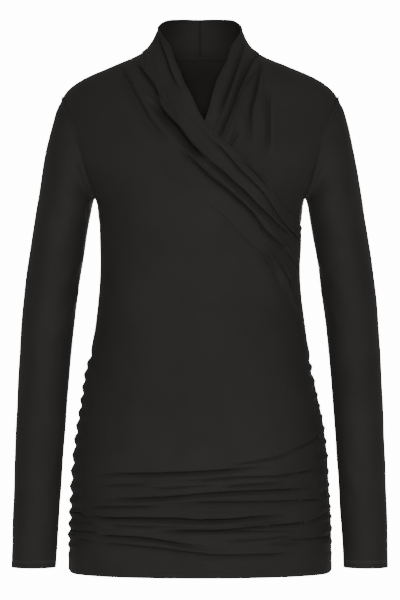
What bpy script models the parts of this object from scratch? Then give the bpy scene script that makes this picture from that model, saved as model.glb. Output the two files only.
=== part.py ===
"""Long-sleeve jersey wrap top with a grown-on stand collar, filled out as when worn.

The pieces are cut as a maker cuts them: two crossed fronts, each with half of the collar, a back and two
set-in sleeves. Every piece is a thin wall on one shared body form, 0.3 mm from the next piece at each seam.
Sizes below are in millimetres. +X is the wearer's left, the front faces -Y and Z is 0 at the base of the neck.
"""

import math
from bisect import bisect_right
from collections import namedtuple

import bmesh
import bpy
from mathutils import Vector

MM = 0.001

# Cloth and seams
WALL = 1.4
SEAM_GAP = 0.3
UNDER_DROP = 3.0
UNDER_RISE = 16.0
UNDER_MARGIN = 13.0

# Main heights
COLLAR_TOP = 61.0
BACK_NECK = 7.0
NECK_POINT = 13.0
SHOULDER_POINT = -52.0
UNDERARM = -184.0
HEM = -688.0
UNDER_HEM = -684.0

# How much higher the hem is at the side seams, and how sharply it turns up to them
HEM_RISE = 5.0
HEM_TURN = 46

# Share of the half width that the armhole takes at its middle
ARMHOLE_CUT = 0.127

# Steps along the edges where pieces meet
COLLAR_STEPS = 4
NECK_STEPS = 3
SHOULDER_STEPS = 8
ARMHOLE_STEPS = 8
NECK_POINT_ROW = COLLAR_STEPS + NECK_STEPS
SHOULDER_ROW = NECK_POINT_ROW + SHOULDER_STEPS
UNDERARM_ROW = SHOULDER_ROW + ARMHOLE_STEPS
FIRST_HIP_ROW = UNDERARM_ROW + 7
FRONT_COLUMNS = 24
UNDER_COLUMNS = 20

# The under front lies wholly under the outer one past this angle; the outer front's free edge crosses the chest
# from the second angle on
CROSSING_ANGLE = 4
NECKLINE_ANGLE = -50

# Columns crowd where the form turns: a turn of one radian counts as this much length
TURN_COST = 70.0
ROW_SAMPLES = 90

Section = namedtuple("Section", "z half_width front back power")
BODY = [
    Section(-700, 176, 102, 110, 2.2),
    Section(-680, 177.5, 104, 112, 2.2),
    Section(-649, 177.5, 105, 114, 2.2),
    Section(-585, 174.8, 107, 117, 2.2),
    Section(-536, 172, 108, 114, 2.2),
    Section(-487, 166, 106, 106, 2.2),
    Section(-440, 156.5, 103, 94, 2.2),
    Section(-390, 147, 98, 84, 2.2),
    Section(-350, 140.5, 97, 80, 2.2),
    Section(-305, 136, 101, 81, 2.2),
    Section(-270, 134.5, 107, 85, 2.2),
    Section(-235, 135, 116, 91, 2.2),
    Section(-210, 136.3, 120, 96, 2.2),
    Section(-197, 138, 121.5, 98, 2.2),
    Section(-184, 142, 122, 100, 2.15),
    Section(-170, 155.5, 120.5, 102, 2.1),
    Section(-150, 170, 117, 104, 2.05),
    Section(-125, 183, 110, 104, 2.02),
    Section(-100, 190, 101, 101, 2.0),
    Section(-75, 192, 92, 96, 2.0),
    Section(-52, 187, 83, 89, 2.0),
    Section(-43, 182, 79, 85, 2.0),
    Section(-32, 171, 74, 79, 2.0),
    Section(-22, 155, 69, 73, 2.0),
    Section(-11, 130, 64, 66, 2.0),
    Section(-3, 111, 60, 61, 2.0),
    Section(5, 91, 57, 57, 2.0),
    Section(13, 77, 54, 54, 2.0),
    Section(21, 68, 51, 52, 2.0),
    Section(30, 63, 49, 51, 2.0),
    Section(42, 57, 46, 50, 2.0),
    Section(54, 51, 43, 49, 2.0),
    Section(64, 44, 40, 47, 2.0),
]

# A guide row of a front: its grid row, its places (angle from centre front towards its own side, height)
# after the start on the seam, and how far the cloth stands out at the start, three places between and the end.
Guide = namedtuple("Guide", "row places stands")

# The outer front starts at the wearer's right, where its angles are negative, and ends at the left side seam.
OUTER_GUIDES = [
    Guide(0, [(-150, 60.1), (-120, 57.7), (-90, 48), (-67, 39.5), (-49, 29), (-35.7, 18.2), (-19.6, -0.7),
              (-10.6, -18.9), (-6.8, -36.3), (-3.7, -52.7), (-0.5, -76.2), (3.8, -96.9), (10.6, -118),
              (16, -131), (35, -173), (52, -200), (78, -222), (90, -226)], (0, 1.5, 2.5, 3, 0.6)),
    Guide(2, [(-135, 34), (-90, 30), (-60, 20), (-28, -1), (-8, -48), (2, -103), (13, -140), (33, -179),
              (48, -212), (76, -230), (90, -232)], (0, 0, 0.2, 0.3, 0.2)),
    Guide(4, [(-135, 12), (-90, 23), (-56, 13), (-29, -5), (-11, -54), (0, -110), (11, -147), (30, -185),
              (46, -216), (76, -237), (90, -239)], (0, 2.5, 6, 5.5, 0.8)),
    Guide(6, [(-105, 14), (-90, 18), (-60, 7), (-30, -9), (-14, -59), (-1, -114), (10, -150), (28, -188),
              (45, -218), (76, -241), (90, -244)], (0, 0.5, 2, 2, 0.3)),
    Guide(7, [(-80, 13.5), (-60, 3), (-31, -13), (-15, -63), (-2, -117), (10, -153), (27, -191), (44, -220),
              (76, -244), (90, -247)], (0, 0, 0, 0, 0)),
    Guide(8, [(-62, -4), (-34, -19), (-17, -66), (-4, -123), (8, -159), (24, -195), (42, -226), (76, -250),
              (90, -253)], (1, 4.5, 5.5, 5, 0.8)),
    Guide(10, [(-64, -16), (-41, -27), (-23, -76), (-6, -130), (6, -165), (21, -201), (39, -234), (76, -259),
               (90, -262)], (0, 0.5, 0, 0, 0)),
    Guide(12, [(-68, -29), (-46, -36), (-29, -88), (-12, -144), (1, -179), (14, -214), (32, -250), (76, -274),
               (90, -278)], (0.2, 0.8, 1.2, 1.2, 0.3)),
    Guide(18, [(-49, -102), (-36, -123), (-23, -157), (-4, -193), (14, -226), (35, -258), (72, -310),
               (90, -324)], (0, 0.5, 0.5, 0.5, 0)),
    Guide(21, [(-50, -169), (-36, -182), (-22, -203), (-3, -233), (17, -262), (44, -290), (69, -345),
               (90, -356)], (0, 0.8, 2, 3, 0.6)),
    Guide(25, [(-55, -236), (-37, -246), (-21, -262), (0, -288), (21, -313), (47, -340), (67, -366),
               (90, -377)], (0, 0.5, 0.5, 0.5, 0)),
    Guide(27, [(-54, -312), (-33, -320), (-15, -332), (2, -346), (20, -358), (44, -371), (71, -385),
               (90, -391)], (0, 0.5, 1, 1.5, 0.6)),
]

# The under front starts at the wearer's left, with the same signs turned round, and ends at the right side seam.
UNDER_GUIDES = [
    Guide(0, [(-150, 60.1), (-120, 57.7), (-90, 47.5), (-52, 29), (-27.2, 7.2), (-17.6, -6.2), (-11.3, -18.7),
              (-7.3, -34.7), (-5.4, -50.4), (-3.5, -72.7), (-2.2, -85.4), (0.8, -100), (15, -144),
              (39, -190), (58, -218), (78, -240), (90, -245)], (0, 1, 2, 0, 0)),
    Guide(2, [(-135, 34), (-90, 29), (-56, 17), (-29, -2), (-11, -50), (-4, -104), (9, -157), (31, -206),
              (50, -242), (78, -270), (90, -275)], (0, 0, 0, 0, 0)),
    Guide(4, [(-135, 12), (-90, 22), (-58, 10), (-31, -6), (-13, -54), (-6, -108), (7, -165), (27, -219),
              (46, -256), (78, -286), (90, -292)], (0, 2.5, 4, 0, 0)),
    Guide(6, [(-105, 14), (-90, 18), (-60, 6), (-32, -10), (-14, -55), (-7, -110), (5, -170), (23, -228),
              (43, -266), (77, -296), (90, -303)], (0, 0.5, 1, 0, 0)),
    Guide(7, [(-80, 13.5), (-62, 2), (-32, -13), (-15, -58), (-8, -112), (4, -174), (22, -233), (42, -272), (77, -302),
              (90, -309)], (0, 0, 0, 0, 0)),
    Guide(8, [(-60, -6), (-32, -17), (-18, -60), (-13, -114), (-5, -181), (11, -247), (30, -290), (75, -318),
              (90, -324)], (0.5, 3, 4, 0, 0)),
    Guide(9, [(-58, -13), (-32, -23), (-21, -63), (-19, -117), (-13, -190), (0, -262), (18, -308), (73, -335),
              (90, -340)], (0, 0, 0, 0, 0)),
    Guide(11, [(-56, -30), (-36, -38), (-28, -72), (-28, -134), (-31, -196), (-20, -256), (-2, -308),
               (40, -362), (90, -385)], (0.5, 2, 2.5, 0, 0)),
    Guide(18, [(-56, -120), (-52, -155), (-52, -205), (-49, -258), (-30, -325), (8, -392), (90, -455)],
          (0, 0, 0, 0, 0)),
    Guide(21, [(-62, -184), (-60, -215), (-58, -262), (-42, -335), (-5, -410), (45, -465), (90, -488)],
          (0, 0, 0, 0, 0)),
    Guide(23, [(-82, -200), (-75, -226), (-69, -268), (-56, -336), (-20, -430), (30, -495), (90, -520)],
          (0, 0, 0, 0, 0)),
    Guide(27, [(-60, -420), (0, -510), (50, -550), (90, -565)], (0, 0, 0, 0, 0)),
    Guide(31, [(-45, -576), (0, -612), (45, -628), (90, -635)], (0, 0, 0, 0, 0)),
    Guide(34, [(-45, UNDER_HEM), (0, UNDER_HEM), (45, UNDER_HEM), (90, UNDER_HEM)], (0, 0, 0, 0, 0)),
]

# Heights of some rows where the fronts meet the side seams, as (row, height)
SIDE_SEAM = [(UNDERARM_ROW, UNDERARM), (25, -236), (27, -316)]
UNDER_SIDE_SEAM = [(UNDERARM_ROW, UNDERARM), (27, -340), (31, -540), (34, UNDER_HEM)]

# A gathered fold over the hips: the height of its trough at the wearer's right seam, the centre front and the
# wearer's left seam, and how far the ridge below it stands out along the front and at the centre back.
HipFold = namedtuple("HipFold", "right centre left at_right mid_right at_centre mid_left at_left at_back")
HIP_FOLDS = [
    HipFold(-396, -399, -403, 1.6, 0.2, 0.0, 0.3, 1.8, 0.3),
    HipFold(-413, -416, -419, 1.8, 0.3, 0.0, 0.5, 2.0, 0.5),
    HipFold(-430, -435, -440, 1.7, 0.3, 0.0, 0.6, 2.2, 0.6),
    HipFold(-447, -451, -456, 2.0, 0.4, 0.2, 0.8, 2.0, 0.8),
    HipFold(-464, -466, -470, 1.8, 0.4, 0.2, 0.8, 2.2, 0.9),
    HipFold(-481, -482, -485, 2.1, 0.5, 0.3, 1.0, 2.6, 1.0),
    HipFold(-499, -505, -502, 2.0, 0.6, 0.4, 1.4, 2.4, 1.2),
    HipFold(-518, -528, -520, 2.2, 1.0, 1.0, 1.8, 2.4, 1.4),
    HipFold(-541, -548, -541, 2.2, 1.6, 1.6, 1.4, 2.2, 1.6),
    HipFold(-562, -563, -562, 2.2, 1.8, 1.6, 1.6, 2.2, 1.8),
    HipFold(-582, -578, -578, 2.4, 2.4, 2.4, 2.0, 2.4, 2.2),
    HipFold(-599, -591, -593, 2.2, 2.2, 2.2, 2.0, 2.2, 2.0),
    HipFold(-615, -612, -606, 2.4, 3.0, 3.2, 2.6, 2.4, 2.6),
    HipFold(-630, -627, -619, 2.0, 2.4, 2.4, 2.4, 2.2, 2.2),
    HipFold(-644, -646, -638, 1.6, 2.2, 2.4, 1.8, 1.8, 1.6),
    HipFold(-657, -661, -655, 1.0, 1.2, 1.4, 1.2, 1.2, 1.0),
]
HEM_ROW = FIRST_HIP_ROW + 2 * len(HIP_FOLDS) + 1
ABOVE_HEM = -674.0
HEM_ANGLES = [-82, -76, -68, 0, 68, 76, 82, 90]

# One ring of a sleeve: its outer and inner edges seen from the front, its middle and its half depth.
Ring = namedtuple("Ring", "outer_x outer_z inner_x inner_z middle_y half_depth")
SLEEVE_RINGS = [
    Ring(193.8, -65, 142.6, -185.5, 0, 54),
    Ring(200, -86, 143.2, -187, 0, 55),
    Ring(206, -112, 143.8, -189, 0, 55.5),
    Ring(211.6, -141, 144.5, -192, -1, 55.5),
    Ring(216.4, -170, 145.5, -197, -1.5, 55),
    Ring(221, -200, 147.5, -209, -2, 53.5),
    Ring(226.8, -236, 152.3, -238, -4, 51),
    Ring(233.4, -282, 159.5, -282, -7, 47.5),
    Ring(238.8, -332, 166, -332, -10, 44),
    Ring(242.4, -386, 172, -386, -14, 40.5),
    Ring(245.6, -450, 177.4, -450, -18, 37.5),
    Ring(248.2, -520, 182.4, -520, -22, 34.5),
    Ring(250.5, -590, 187, -590, -26, 32),
    Ring(252, -645, 190.6, -645, -29, 30),
    Ring(252.5, -679, 192.4, -679, -30, 29),
]
CAP_RINGS = 4

# The ring at which a sleeve's solid is in two lengths, so that each stays a simple tube
ELBOW_RING = 10

# Dyed cotton jersey: linear colour, roughness and metallic of each piece
JERSEY = {
    "front_outer": ((0.020, 0.018, 0.017), 0.86),
    "front_under": ((0.018, 0.016, 0.015), 0.88),
    "back": ((0.019, 0.017, 0.016), 0.87),
    "sleeve_right_upper": ((0.020, 0.018, 0.017), 0.86),
    "sleeve_right_lower": ((0.020, 0.018, 0.017), 0.86),
    "sleeve_left_upper": ((0.020, 0.018, 0.017), 0.86),
    "sleeve_left_lower": ((0.020, 0.018, 0.017), 0.86),
}


def smooth_curve(knots, values):
    """Return a function that runs smoothly through the values without overshooting them."""
    steps = [b - a for a, b in zip(knots, knots[1:])]
    slopes = [(b - a) / s for a, b, s in zip(values, values[1:], steps)]
    tangents = [slopes[0]]
    for before, after in zip(slopes, slopes[1:]):
        same_way = before * after > 0
        tangents.append(2 * before * after / (before + after) if same_way else 0.0)
    tangents.append(slopes[-1])

    def value(at):
        at = min(max(at, knots[0]), knots[-1])
        k = min(bisect_right(knots, at) - 1, len(steps) - 1)
        h = steps[k]
        t = (at - knots[k]) / h
        start = (2 * t + 1) * (1 - t) ** 2 * values[k] + t * (1 - t) ** 2 * h * tangents[k]
        end = t * t * (3 - 2 * t) * values[k + 1] + t * t * (t - 1) * h * tangents[k + 1]
        return start + end

    return value


def smooth_step(t):
    t = min(max(t, 0.0), 1.0)
    return t * t * (3 - 2 * t)


def mix(a, b, share):
    return a + (b - a) * share


HEIGHTS = [section.z for section in BODY]
HALF_WIDTH = smooth_curve(HEIGHTS, [section.half_width for section in BODY])
FRONT_DEPTH = smooth_curve(HEIGHTS, [section.front for section in BODY])
BACK_DEPTH = smooth_curve(HEIGHTS, [section.back for section in BODY])
POWER = smooth_curve(HEIGHTS, [section.power for section in BODY])


def on_body(angle, z):
    """Return the point of the body form at an angle from centre front, positive to +X."""
    turn = math.radians(angle)
    share = 2 / POWER(z)
    side = math.sin(turn)
    ahead = math.cos(turn)
    depth = FRONT_DEPTH(z) if ahead > 0 else BACK_DEPTH(z)
    x = HALF_WIDTH(z) * math.copysign(abs(side) ** share, side)
    y = -depth * math.copysign(abs(ahead) ** share, ahead)
    return Vector((x, y, z))


def body_normal(angle, z):
    """Return the direction straight out of the body form."""
    around = on_body(angle + 1.5, z) - on_body(angle - 1.5, z)
    up = on_body(angle, z + 1.5) - on_body(angle, z - 1.5)
    return around.cross(up).normalized()


def armhole(turn):
    """Return the angle and height of the armhole, from 0 at the shoulder to 180 at the underarm."""
    middle = (SHOULDER_POINT + UNDERARM) / 2
    z = middle + (SHOULDER_POINT - UNDERARM) / 2 * math.cos(math.radians(turn))
    share = 1 - ARMHOLE_CUT * math.sin(math.radians(turn)) ** 2
    return math.degrees(math.asin(share ** (POWER(z) / 2))), z


def neck_height(angle):
    """Return the height of the neck seam at an angle between the neck point and centre back."""
    return mix(BACK_NECK, NECK_POINT, ((180 - abs(angle)) / 90) ** 2)


def front_start(row, side_heights):
    """Return where a row of a front starts: collar, neck, shoulder, armhole or side seam, on the minus side."""
    if row <= COLLAR_STEPS:
        return -180.0, mix(COLLAR_TOP, BACK_NECK, row / COLLAR_STEPS)
    if row <= NECK_POINT_ROW:
        angle = -mix(180.0, 90.0, (row - COLLAR_STEPS) / NECK_STEPS)
        return angle, neck_height(angle)
    if row <= SHOULDER_ROW:
        return -90.0, mix(NECK_POINT, SHOULDER_POINT, (row - NECK_POINT_ROW) / SHOULDER_STEPS)
    if row <= UNDERARM_ROW:
        angle, z = armhole(180 * (row - SHOULDER_ROW) / ARMHOLE_STEPS)
        return -angle, z
    return -90.0, side_heights(row)


def straight_steps(knots, values):
    """Return a function that runs in straight lines through the values."""
    def value(at):
        at = min(max(at, knots[0]), knots[-1])
        k = min(bisect_right(knots, at) - 1, len(knots) - 2)
        return mix(values[k], values[k + 1], (at - knots[k]) / (knots[k + 1] - knots[k]))

    return value


def along_row(places, stations):
    """Return places along a guide row, spaced by length and by how much the body form turns."""
    points = [on_body(angle, z) for angle, z in places]
    reach = [0.0]
    for a, b in zip(points, points[1:]):
        reach.append(reach[-1] + (b - a).length)
    angle = smooth_curve(reach, [place[0] for place in places])
    height = smooth_curve(reach, [place[1] for place in places])
    samples = [reach[-1] * k / ROW_SAMPLES for k in range(ROW_SAMPLES + 1)]
    spots = [(angle(s), height(s)) for s in samples]
    effort = [0.0]
    for a, b in zip(spots, spots[1:]):
        length = (on_body(*b) - on_body(*a)).length
        turned = body_normal(*a).angle(body_normal(*b))
        effort.append(effort[-1] + length + TURN_COST * turned)
    sample = straight_steps(effort, samples)
    steps = [sample(effort[-1] * k / stations) for k in range(stations + 1)]
    return [(angle(s), height(s)) for s in steps]


def front_sheet(guides, side_heights, columns):
    """Return rows of (angle, height, stand) for a front, worked out between its guide rows."""
    rows = [guide.row for guide in guides]
    spread = [0.0, 0.25, 0.5, 0.75, 1.0]
    lines = []
    stands = []
    for guide in guides:
        places = [front_start(guide.row, side_heights)] + guide.places
        lines.append(along_row(places, columns))
        stand = smooth_curve(spread, guide.stands)
        stands.append([stand(k / columns) for k in range(columns + 1)])
    sheet = [[None] * (columns + 1) for _ in range(rows[-1] + 1)]
    for column in range(columns + 1):
        angle = smooth_curve(rows, [line[column][0] for line in lines])
        height = smooth_curve(rows, [line[column][1] for line in lines])
        stand = smooth_curve(rows, [line[column] for line in stands])
        for row in range(rows[-1] + 1):
            sheet[row][column] = (angle(row), height(row), stand(row))
    for row in range(rows[-1] + 1):
        angle, z = front_start(row, side_heights)
        sheet[row][0] = (angle, z, sheet[row][0][2])
    return sheet


def hem_height(angle):
    """Return the height of the hem at an angle from centre front, a little higher at the side seams."""
    return HEM + HEM_RISE * abs(math.sin(math.radians(angle))) ** HEM_TURN


def hip_guides():
    """Return the guide rows of the gathered folds: a trough and a ridge for each, then the plain hem."""
    guides = []
    for number, fold in enumerate(HIP_FOLDS):
        row = FIRST_HIP_ROW + 2 * number
        after = HIP_FOLDS[number + 1] if number + 1 < len(HIP_FOLDS) else None
        centre = (fold.centre + (after.centre if after else ABOVE_HEM)) / 2
        left = (fold.left + (after.left if after else ABOVE_HEM)) / 2
        guides.append(Guide(row, [(0, fold.centre), (90, fold.left)], (0, 0, 0, 0, 0)))
        stand = (fold.at_right, fold.mid_right, fold.at_centre, fold.mid_left, fold.at_left)
        guides.append(Guide(row + 1, [(0, centre), (90, left)], stand))
    guides.append(Guide(HEM_ROW - 1, [(0, ABOVE_HEM), (90, ABOVE_HEM)], (0, 0, 0, 0, 0)))
    hem = [(angle, hem_height(angle)) for angle in HEM_ANGLES]
    guides.append(Guide(HEM_ROW, hem, (0.4, 0.4, 0.4, 0.4, 0.4)))
    return guides


def side_seam(side):
    """Return the height of each row at one side seam, shared by the outer front and the back."""
    heights = [getattr(fold, side) for fold in HIP_FOLDS] + [ABOVE_HEM]
    knots = [row for row, _ in SIDE_SEAM]
    values = [height for _, height in SIDE_SEAM]
    for number, (upper, lower) in enumerate(zip(heights, heights[1:])):
        knots += [FIRST_HIP_ROW + 2 * number, FIRST_HIP_ROW + 2 * number + 1]
        values += [upper, (upper + lower) / 2]
    return straight_steps(knots + [HEM_ROW - 1, HEM_ROW], values + [ABOVE_HEM, hem_height(90)])


def new_wall(columns, rows, place, closed):
    """Return a wall: a grid laid on the outer points, and its copy on the inner points, joined round the edge."""
    bm = bmesh.new()
    bmesh.ops.create_grid(bm, x_segments=columns, y_segments=rows, size=0.5)
    column_of = bm.verts.layers.int.new("column")
    row_of = bm.verts.layers.int.new("row")
    for vert in bm.verts:
        vert[column_of] = round((vert.co.x + 0.5) * columns)
        vert[row_of] = round((vert.co.y + 0.5) * rows)
    if closed:
        first = {vert[row_of]: vert for vert in bm.verts if vert[column_of] == 0}
        last = [vert for vert in bm.verts if vert[column_of] == columns]
        bmesh.ops.weld_verts(bm, targetmap={vert: first[vert[row_of]] for vert in last})
    for vert in bm.verts:
        vert.co = place(vert[column_of], vert[row_of])[0] * MM
    bmesh.ops.triangulate(bm, faces=bm.faces[:], quad_method="SHORT_EDGE")
    copied = bmesh.ops.extrude_face_region(bm, geom=bm.faces[:])
    for vert in copied["geom"]:
        if isinstance(vert, bmesh.types.BMVert):
            vert.co = place(vert[column_of], vert[row_of])[1] * MM
    bmesh.ops.recalc_face_normals(bm, faces=bm.faces[:])
    return bm


def cloth_piece(name, columns, rows, place, closed=False):
    """Make one piece of cloth from a function that gives the outer and inner point at (column, row)."""
    bm = new_wall(columns, rows, place, closed)
    mesh = bpy.data.meshes.new(name)
    bm.to_mesh(mesh)
    bm.free()
    mesh.shade_smooth()
    mesh.set_sharp_from_angle(angle=math.radians(50))
    piece = bpy.data.objects.new(name, mesh)
    bpy.context.collection.objects.link(piece)
    colour, roughness = JERSEY[name]
    material = bpy.data.materials.new(name + "_jersey")
    material.use_nodes = True
    shader = material.node_tree.nodes["Principled BSDF"]
    shader.inputs["Base Color"].default_value = (*colour, 1)
    shader.inputs["Roughness"].default_value = roughness
    shader.inputs["Metallic"].default_value = 0.0
    mesh.materials.append(material)
    return piece


def wall_points(angle, z, stand):
    """Return the outer and inner point of the wall where the cloth stands out from the body form."""
    point = on_body(angle, z)
    normal = body_normal(angle, z)
    return point + normal * stand, point + normal * (stand - WALL)


def pulled_back(place, column, row, towards):
    """Return the two points of a place on an edge, moved one seam gap towards the next place inside."""
    edge = place(column, row)
    inside = place(*towards)
    moved = []
    for point, goal in zip(edge, inside):
        moved.append(point + (goal - point).normalized() * SEAM_GAP)
    return moved


def distance_below(point, edge):
    """Return how far a point seen from the front lies below the outer front's free edge."""
    best = None
    for a, b in zip(edge, edge[1:]):
        run = b - a
        share = min(max((point - a).dot(run) / run.dot(run), 0.0), 1.0)
        offset = point - (a + run * share)
        if best is None or offset.length < best[0]:
            below = run.x * offset.y - run.y * offset.x < 0
            best = (offset.length, below)
    return best[0] if best[1] else -best[0]


def front_edge(sheet):
    """Return the part of the outer front's free edge that crosses the chest, as seen from the front."""
    line = [on_body(angle, z) for angle, z, _ in sheet[0] if angle > NECKLINE_ANGLE]
    return [Vector((point.x, point.z)) for point in line]


def make_outer_front(sheet):
    def place(column, row):
        return wall_points(*sheet[row][column])

    return cloth_piece("front_outer", FRONT_COLUMNS, HEM_ROW, place)


def make_under_front(sheet, edge):
    rows = UNDER_GUIDES[-1].row

    def lying(column, row):
        angle, z, stand = sheet[row][column]
        point = on_body(-angle, z)
        covered = angle > CROSSING_ANGLE
        depth = distance_below(Vector((point.x, point.z)), edge)
        hidden = 1.0 if covered else smooth_step(1 + (depth + UNDER_MARGIN) / UNDER_RISE)
        return wall_points(-angle, z, mix(stand, -UNDER_DROP, hidden))

    def place(column, row):
        if column == 0 and row <= COLLAR_STEPS:
            return pulled_back(lying, column, row, (1, row))
        return lying(column, row)

    return cloth_piece("front_under", UNDER_COLUMNS, rows, place)


def back_top(column):
    """Return the angle and height of the back's top edge, from the left shoulder over the neck to the right."""
    if column <= SHOULDER_STEPS:
        return 90.0, mix(SHOULDER_POINT, NECK_POINT, column / SHOULDER_STEPS)
    step = column - SHOULDER_STEPS
    if step <= 2 * NECK_STEPS:
        angle = mix(90.0, 270.0, step / (2 * NECK_STEPS))
        return angle, neck_height(angle if angle <= 180 else 360 - angle)
    share = (step - 2 * NECK_STEPS) / SHOULDER_STEPS
    return 270.0, mix(NECK_POINT, SHOULDER_POINT, share)


def make_back():
    columns = 2 * (SHOULDER_STEPS + NECK_STEPS)
    rows = ARMHOLE_STEPS + HEM_ROW - UNDERARM_ROW
    left_seam = side_seam("left")
    right_seam = side_seam("right")

    def yoke_place(column, row):
        across = column / columns
        down = row / ARMHOLE_STEPS
        top_angle, top_z = back_top(column)
        arm_angle, arm_z = armhole(180 * down)
        angle = mix(top_angle, mix(90.0, 270.0, across), down) + (90 - arm_angle) * (1 - 2 * across)
        z = mix(top_z, UNDERARM, down) + arm_z - mix(SHOULDER_POINT, UNDERARM, down)
        return angle, z, 0.0

    def lower_place(column, row):
        across = column / columns
        front_row = row - ARMHOLE_STEPS + UNDERARM_ROW
        angle = mix(90.0, 270.0, across)
        z = mix(left_seam(front_row), right_seam(front_row), smooth_step(across))
        if row == rows:
            z = hem_height(angle)
        stand = 0.0
        number = (front_row - FIRST_HIP_ROW) // 2
        if 0 <= number < len(HIP_FOLDS) and (front_row - FIRST_HIP_ROW) % 2:
            fold = HIP_FOLDS[number]
            stand = smooth_curve([0, 0.5, 1], [fold.at_left, fold.at_back, fold.at_right])(across)
        return angle, z, stand

    def lying(column, row):
        spot = yoke_place(column, row) if row <= ARMHOLE_STEPS else lower_place(column, row)
        return wall_points(*spot)

    def place(column, row):
        if row == 0:
            inside = min(max(column, 1), columns - 1)
            return pulled_back(lying, column, row, (inside, 1))
        if column == 0 and row >= ARMHOLE_STEPS:
            return pulled_back(lying, column, row, (1, row))
        if column == columns and row >= ARMHOLE_STEPS:
            return pulled_back(lying, column, row, (columns - 1, row))
        return lying(column, row)

    return cloth_piece("back", columns, rows, place)


def make_sleeve_length(name, side, first, last):
    """Make the length of a sleeve between two of its rings, on the side given as -1 or 1."""
    columns = 2 * ARMHOLE_STEPS
    armhole_ring = Ring(HALF_WIDTH(SHOULDER_POINT), SHOULDER_POINT, HALF_WIDTH(UNDERARM), UNDERARM, 0, 53)
    rings = [armhole_ring] + SLEEVE_RINGS

    def armhole_edge(turn):
        angle, z = armhole(turn if turn <= 180 else 360 - turn)
        return on_body(side * angle if turn <= 180 else side * (180 - angle), z)

    def ring_point(ring, turn, shrink):
        middle_x = (ring.outer_x + ring.inner_x) / 2
        middle_z = (ring.outer_z + ring.inner_z) / 2
        out = Vector((ring.outer_x - middle_x, 0, ring.outer_z - middle_z))
        reach = out * (1 - shrink / out.length) * math.cos(math.radians(turn))
        depth = (ring.half_depth - shrink) * math.sin(math.radians(turn))
        x = side * (middle_x + reach.x)
        return Vector((x, ring.middle_y - depth, middle_z + reach.z))

    def lying(column, row):
        turn = 360 * (column % columns) / columns
        shift = armhole_edge(turn) - ring_point(armhole_ring, turn, 0)
        shift *= 1 - smooth_step(row / CAP_RINGS)
        return [ring_point(rings[row], turn, shrink) + shift for shrink in (0, WALL)]

    def place(column, row):
        if row == 0:
            return pulled_back(lying, column, first, (column, first + 1))
        return lying(column, first + row)

    return cloth_piece(name, columns, last - first, place, closed=True)


def main():
    for thing in list(bpy.data.objects):
        bpy.data.objects.remove(thing, do_unlink=True)
    right_seam = side_seam("right")
    outer = front_sheet(OUTER_GUIDES + hip_guides(), right_seam, FRONT_COLUMNS)
    under_seam = straight_steps(*zip(*UNDER_SIDE_SEAM))
    under = front_sheet(UNDER_GUIDES, under_seam, UNDER_COLUMNS)
    make_outer_front(outer)
    make_under_front(under, front_edge(outer))
    make_back()
    for word, side in (("right", -1), ("left", 1)):
        make_sleeve_length(f"sleeve_{word}_upper", side, 0, ELBOW_RING)
        make_sleeve_length(f"sleeve_{word}_lower", side, ELBOW_RING, len(SLEEVE_RINGS))


main()
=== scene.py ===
import math
from collections import namedtuple

import bmesh
import bpy
import numpy as np
from bpy.props import FloatProperty, FloatVectorProperty, PointerProperty
from mathutils import Matrix, Vector, noise
from mathutils.kdtree import KDTree


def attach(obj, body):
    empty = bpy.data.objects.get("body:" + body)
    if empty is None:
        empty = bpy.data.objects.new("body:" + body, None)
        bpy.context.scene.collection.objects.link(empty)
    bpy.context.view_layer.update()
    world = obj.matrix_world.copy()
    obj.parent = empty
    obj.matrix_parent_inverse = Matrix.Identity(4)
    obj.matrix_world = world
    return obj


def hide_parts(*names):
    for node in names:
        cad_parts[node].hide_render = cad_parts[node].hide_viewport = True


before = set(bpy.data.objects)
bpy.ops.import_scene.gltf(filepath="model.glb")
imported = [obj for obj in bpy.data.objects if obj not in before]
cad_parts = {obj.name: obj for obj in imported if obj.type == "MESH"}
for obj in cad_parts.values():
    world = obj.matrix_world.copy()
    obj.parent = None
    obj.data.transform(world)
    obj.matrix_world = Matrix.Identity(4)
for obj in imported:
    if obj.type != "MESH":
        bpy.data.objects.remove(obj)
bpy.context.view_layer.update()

bl_info = {
    "name": "Jersey wrap top",
    "version": (1, 0, 0),
    "blender": (4, 5, 0),
    "location": "View3D > Sidebar > Wrap top",
    "description": "Makes a long-sleeve jersey wrap top as thin cloth shells with creases and stitching",
    "category": "Object",
}

# Lengths in the tables below are millimetres; angles run from centre front, positive to the wearer's left.
MM = 0.001

# Main heights, from the base of the neck
SHOULDER_POINT = -52.0
UNDERARM = -184.0
COLLAR_TOP = 61.0
BACK_NECK = 7.0
NECK_POINT = 13.0
HEM = -688.0
UNDER_HEM = -684.0

# How much higher the hem is at the side seams, and how sharply it turns up to them
HEM_RISE = 5.0
HEM_TURN = 46
HEM_ANGLES = [-86, -82, -79, -76, -72, -68, 0, 68, 72, 76, 79, 82, 86, 90]
# Share of the half width that the armhole takes at its middle
ARMHOLE_CUT = 0.127

# How far the under front lies beneath the outer one, how far before the outer edge it starts to be pressed
# flat, and the angle past which the outer front always covers it
LAYER_GAP = 1.5
PRESSED_OVER = 4.0
CROSSING_ANGLE = 4
# How far the under front may stand out where nothing lies on it, and how many of the outer front's nearest
# points are asked for the room beneath them
FREE_ROOM = 50.0
ROOM_NEIGHBOURS = 10
# The outer front's free edge crosses the chest from this angle on
NECKLINE_ANGLE = -50


def hem_height(angle):
    """Return the height of the hem at an angle from centre front, a little higher at the side seams."""
    return HEM + HEM_RISE * np.abs(np.sin(np.radians(angle))) ** HEM_TURN


# Sizes of the cloth's soft waves, and how far those of the two sleeves are shifted apart
BROAD_WAVE = 45.0
FINE_WAVE = 16.0
SLEEVE_WAVE = 50.0
SLEEVE_WAVE_SHIFT = 300

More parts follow.
